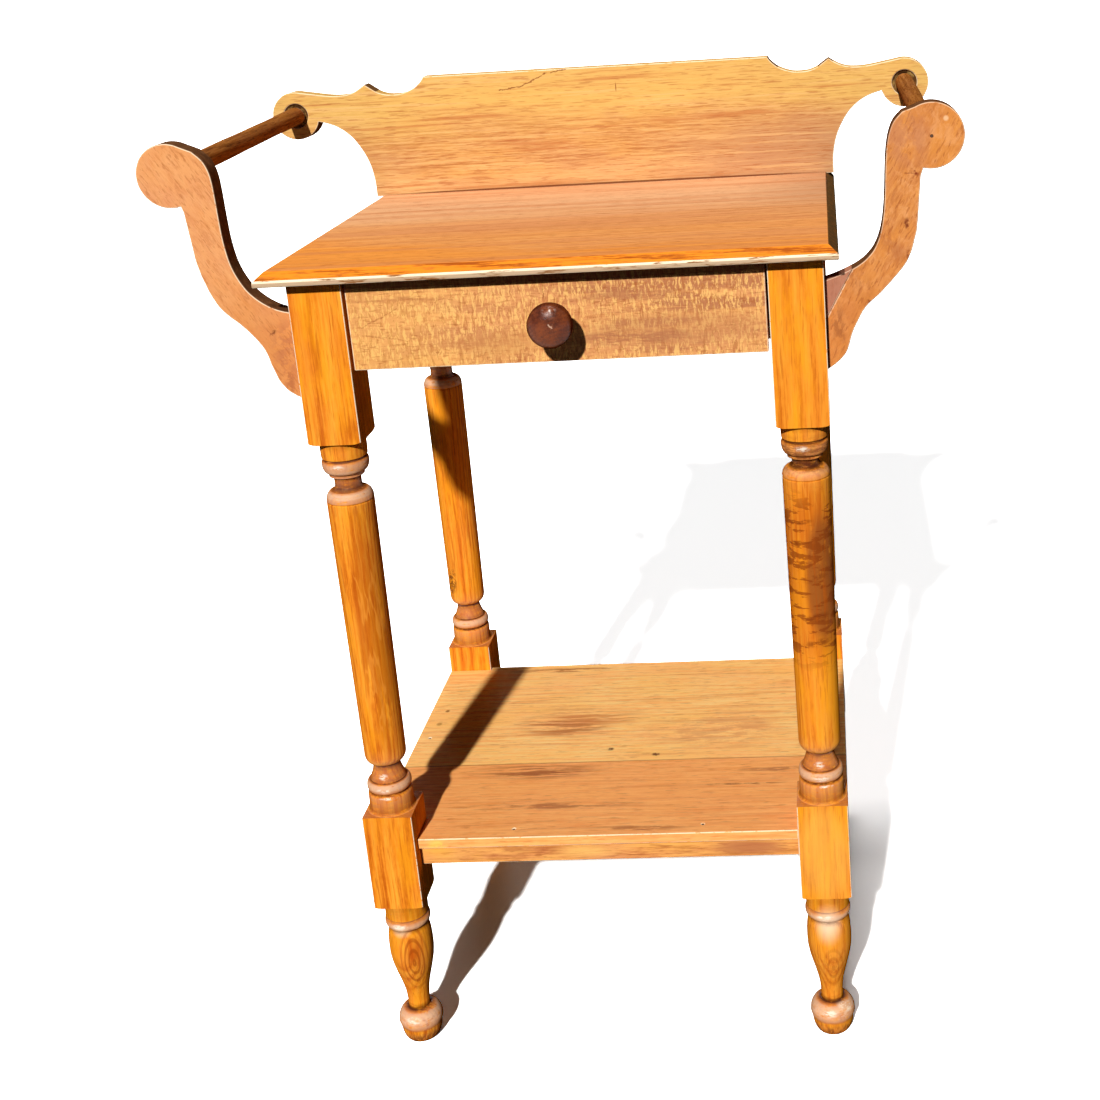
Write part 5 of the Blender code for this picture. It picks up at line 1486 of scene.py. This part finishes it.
shelfMarks = [
    onShelf(-0.0131, -0.0133, 0.0045, 0.004, (62, 28, 16), 0.9, ragged=260),
    onShelf(0.0328, -0.026, 0.005, 0.0045, (58, 24, 14), 0.9, ragged=240),
    onShelf(-0.1952, 0.0758, 0.003, 0.0035, (120, 70, 24), 0.8),
    onShelf(-0.1975, 0.0481, 0.004, 0.0045, (150, 96, 40), 0.6),
    onShelf(-0.066, 0.035, 0.062, 0.03, (176, 92, 46), 0.8, edge=0.3, ragged=(17, 170, 60), turn=(0, 0, 10)),
    onShelf(-0.04, 0.056, 0.075, 0.024, (200, 112, 58), 0.7, edge=0.3, ragged=(14, 190, 60), turn=(0, 0, 8)),
    onShelf(-0.075, -0.053, 0.085, 0.018, (150, 78, 40), 0.85, edge=0.3, ragged=(14, 190, 60)),
    onShelf(0.12, -0.085, 0.05, 0.0022, (120, 62, 36), 0.75, ragged=(60, 300, 60)),
    onShelf(0.15, -0.06, 0.05, 0.005, (150, 86, 54), 0.6, ragged=(40, 200, 60)),
    onShelf(-0.06, -0.115, 0.11, 0.008, (160, 88, 50), 0.75, ragged=(24, 160, 60)),
    onShelf(-0.08, 0.162, 0.08, 0.007, (160, 82, 38), 0.8, edge=0.3, ragged=(26, 160, 60)),
    onShelf(0.03, -0.156, 0.06, 0.006, (156, 86, 48), 0.7, edge=0.3, ragged=(30, 200, 60)),
    onShelf(0.09, 0.02, 0.09, 0.05, (214, 138, 84), 0.5, edge=0.3, ragged=(34, 90, 60)),
    paintedSpot((-0.15, -0.1683, 0.208), (0.012, 0.01, 0.008), (250, 206, 92), 0.55, ragged=60),
]
railLook = dict(
    boardLook, deep=(162, 86, 40), mid=(222, 144, 82), pale=(246, 180, 98), pith=(0, 0.2, 0.1), streakGrain=(420, 24),
    contrast=0.28,
)
onRail = paintedSpotsOn(-0.158, 0.012)
railMarks = [
    onRail(0.045, 0.2045, 0.075, 0.005, (150, 78, 44), 0.8, ragged=(36, 60, 260)),
    onRail(-0.08, 0.1985, 0.06, 0.004, (170, 96, 56), 0.6, ragged=(40, 60, 260)),
    onRail(0.128, 0.195, 0.045, 0.011, (184, 112, 70), 0.85, edge=0.3),
    onRail(-0.018, 0.195, 0.04, 0.011, (252, 194, 108), 0.65, edge=0.2),
    onRail(-0.15, 0.201, 0.022, 0.012, (246, 176, 72), 0.6, edge=0.2),
]


def makeFrame():
    easedNode(
        "shelfBoard", "shelf_board", wood("shelf wood", shelfLook, shelfMarks, shelfZones),
        drawerShape["boardArris"], segments=3,
    )
    across = wood("cross rail wood", railLook, railMarks)
    deepRail = wood("side rail wood", dict(railLook, grain="Y", pith=(0.3, 0, 0.1)))
    for node in ("shelf_rail_front", "shelf_rail_back", "apron_back", "top_rail_front"):
        easedNode(camel(node), node, across, hiddenArris)
    for node in ("shelf_rail_left", "shelf_rail_right", "apron_left", "apron_right"):
        easedNode(camel(node), node, deepRail, hiddenArris)
    raw = wood("runner wood", rawLook)
    for word in ("left", "right"):
        for part in ("runner", "guide", "kicker", "stop"):
            node = "drawer_" + part + "_" + word
            easedNode(camel(node), node, raw, hiddenArris)
    rawAcross = wood("glue block wood", dict(rawLook, grain="X", pith=(0, 0.1, 0.5)))
    for word in ("left", "middle", "right"):
        easedNode("glueBlock" + word.capitalize(), "glue_block_" + word, rawAcross, blockArris)


def camel(words):
    first, *others = words.split("_")
    return first + "".join(word.capitalize() for word in others)


makeFrame()
print("shelf and rails made")


def steel():
    finish = Finish("rusty steel")
    rust = finish.cloud(finish.mapped((900,) * 3), 4, 0.7)
    colour = finish.ramp(rust, [(0.35, tone(52, 36, 28)), (0.6, tone(84, 56, 40)), (0.75, tone(112, 98, 88))])
    finish.set("Base Color", colour)
    finish.set("Metallic", 0.85)
    finish.set("Roughness", finish.levels(rust, 0.3, 0.7, 0.65, 0.4))
    bump = finish.node("ShaderNodeBump", {"Height": rust, "Strength": 0.3, "Distance": 0.0001})
    finish.set("Normal", bump.outputs["Normal"])
    return finish.material


def paintSmallParts():
    # dowels, brads and the screw keep their CAD shapes
    metal = steel()
    dowel = wood("dowel wood", dict(rawLook, grain="X", pith=(0, 0.02, 0.6)))
    for name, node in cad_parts.items():
        if "brad" in name or "screw" in name:
            node.data.materials.clear()
            node.data.materials.append(metal)
        elif "dowel" in name:
            node.data.materials.clear()
            node.data.materials.append(dowel)


paintSmallParts()
print("small parts painted")
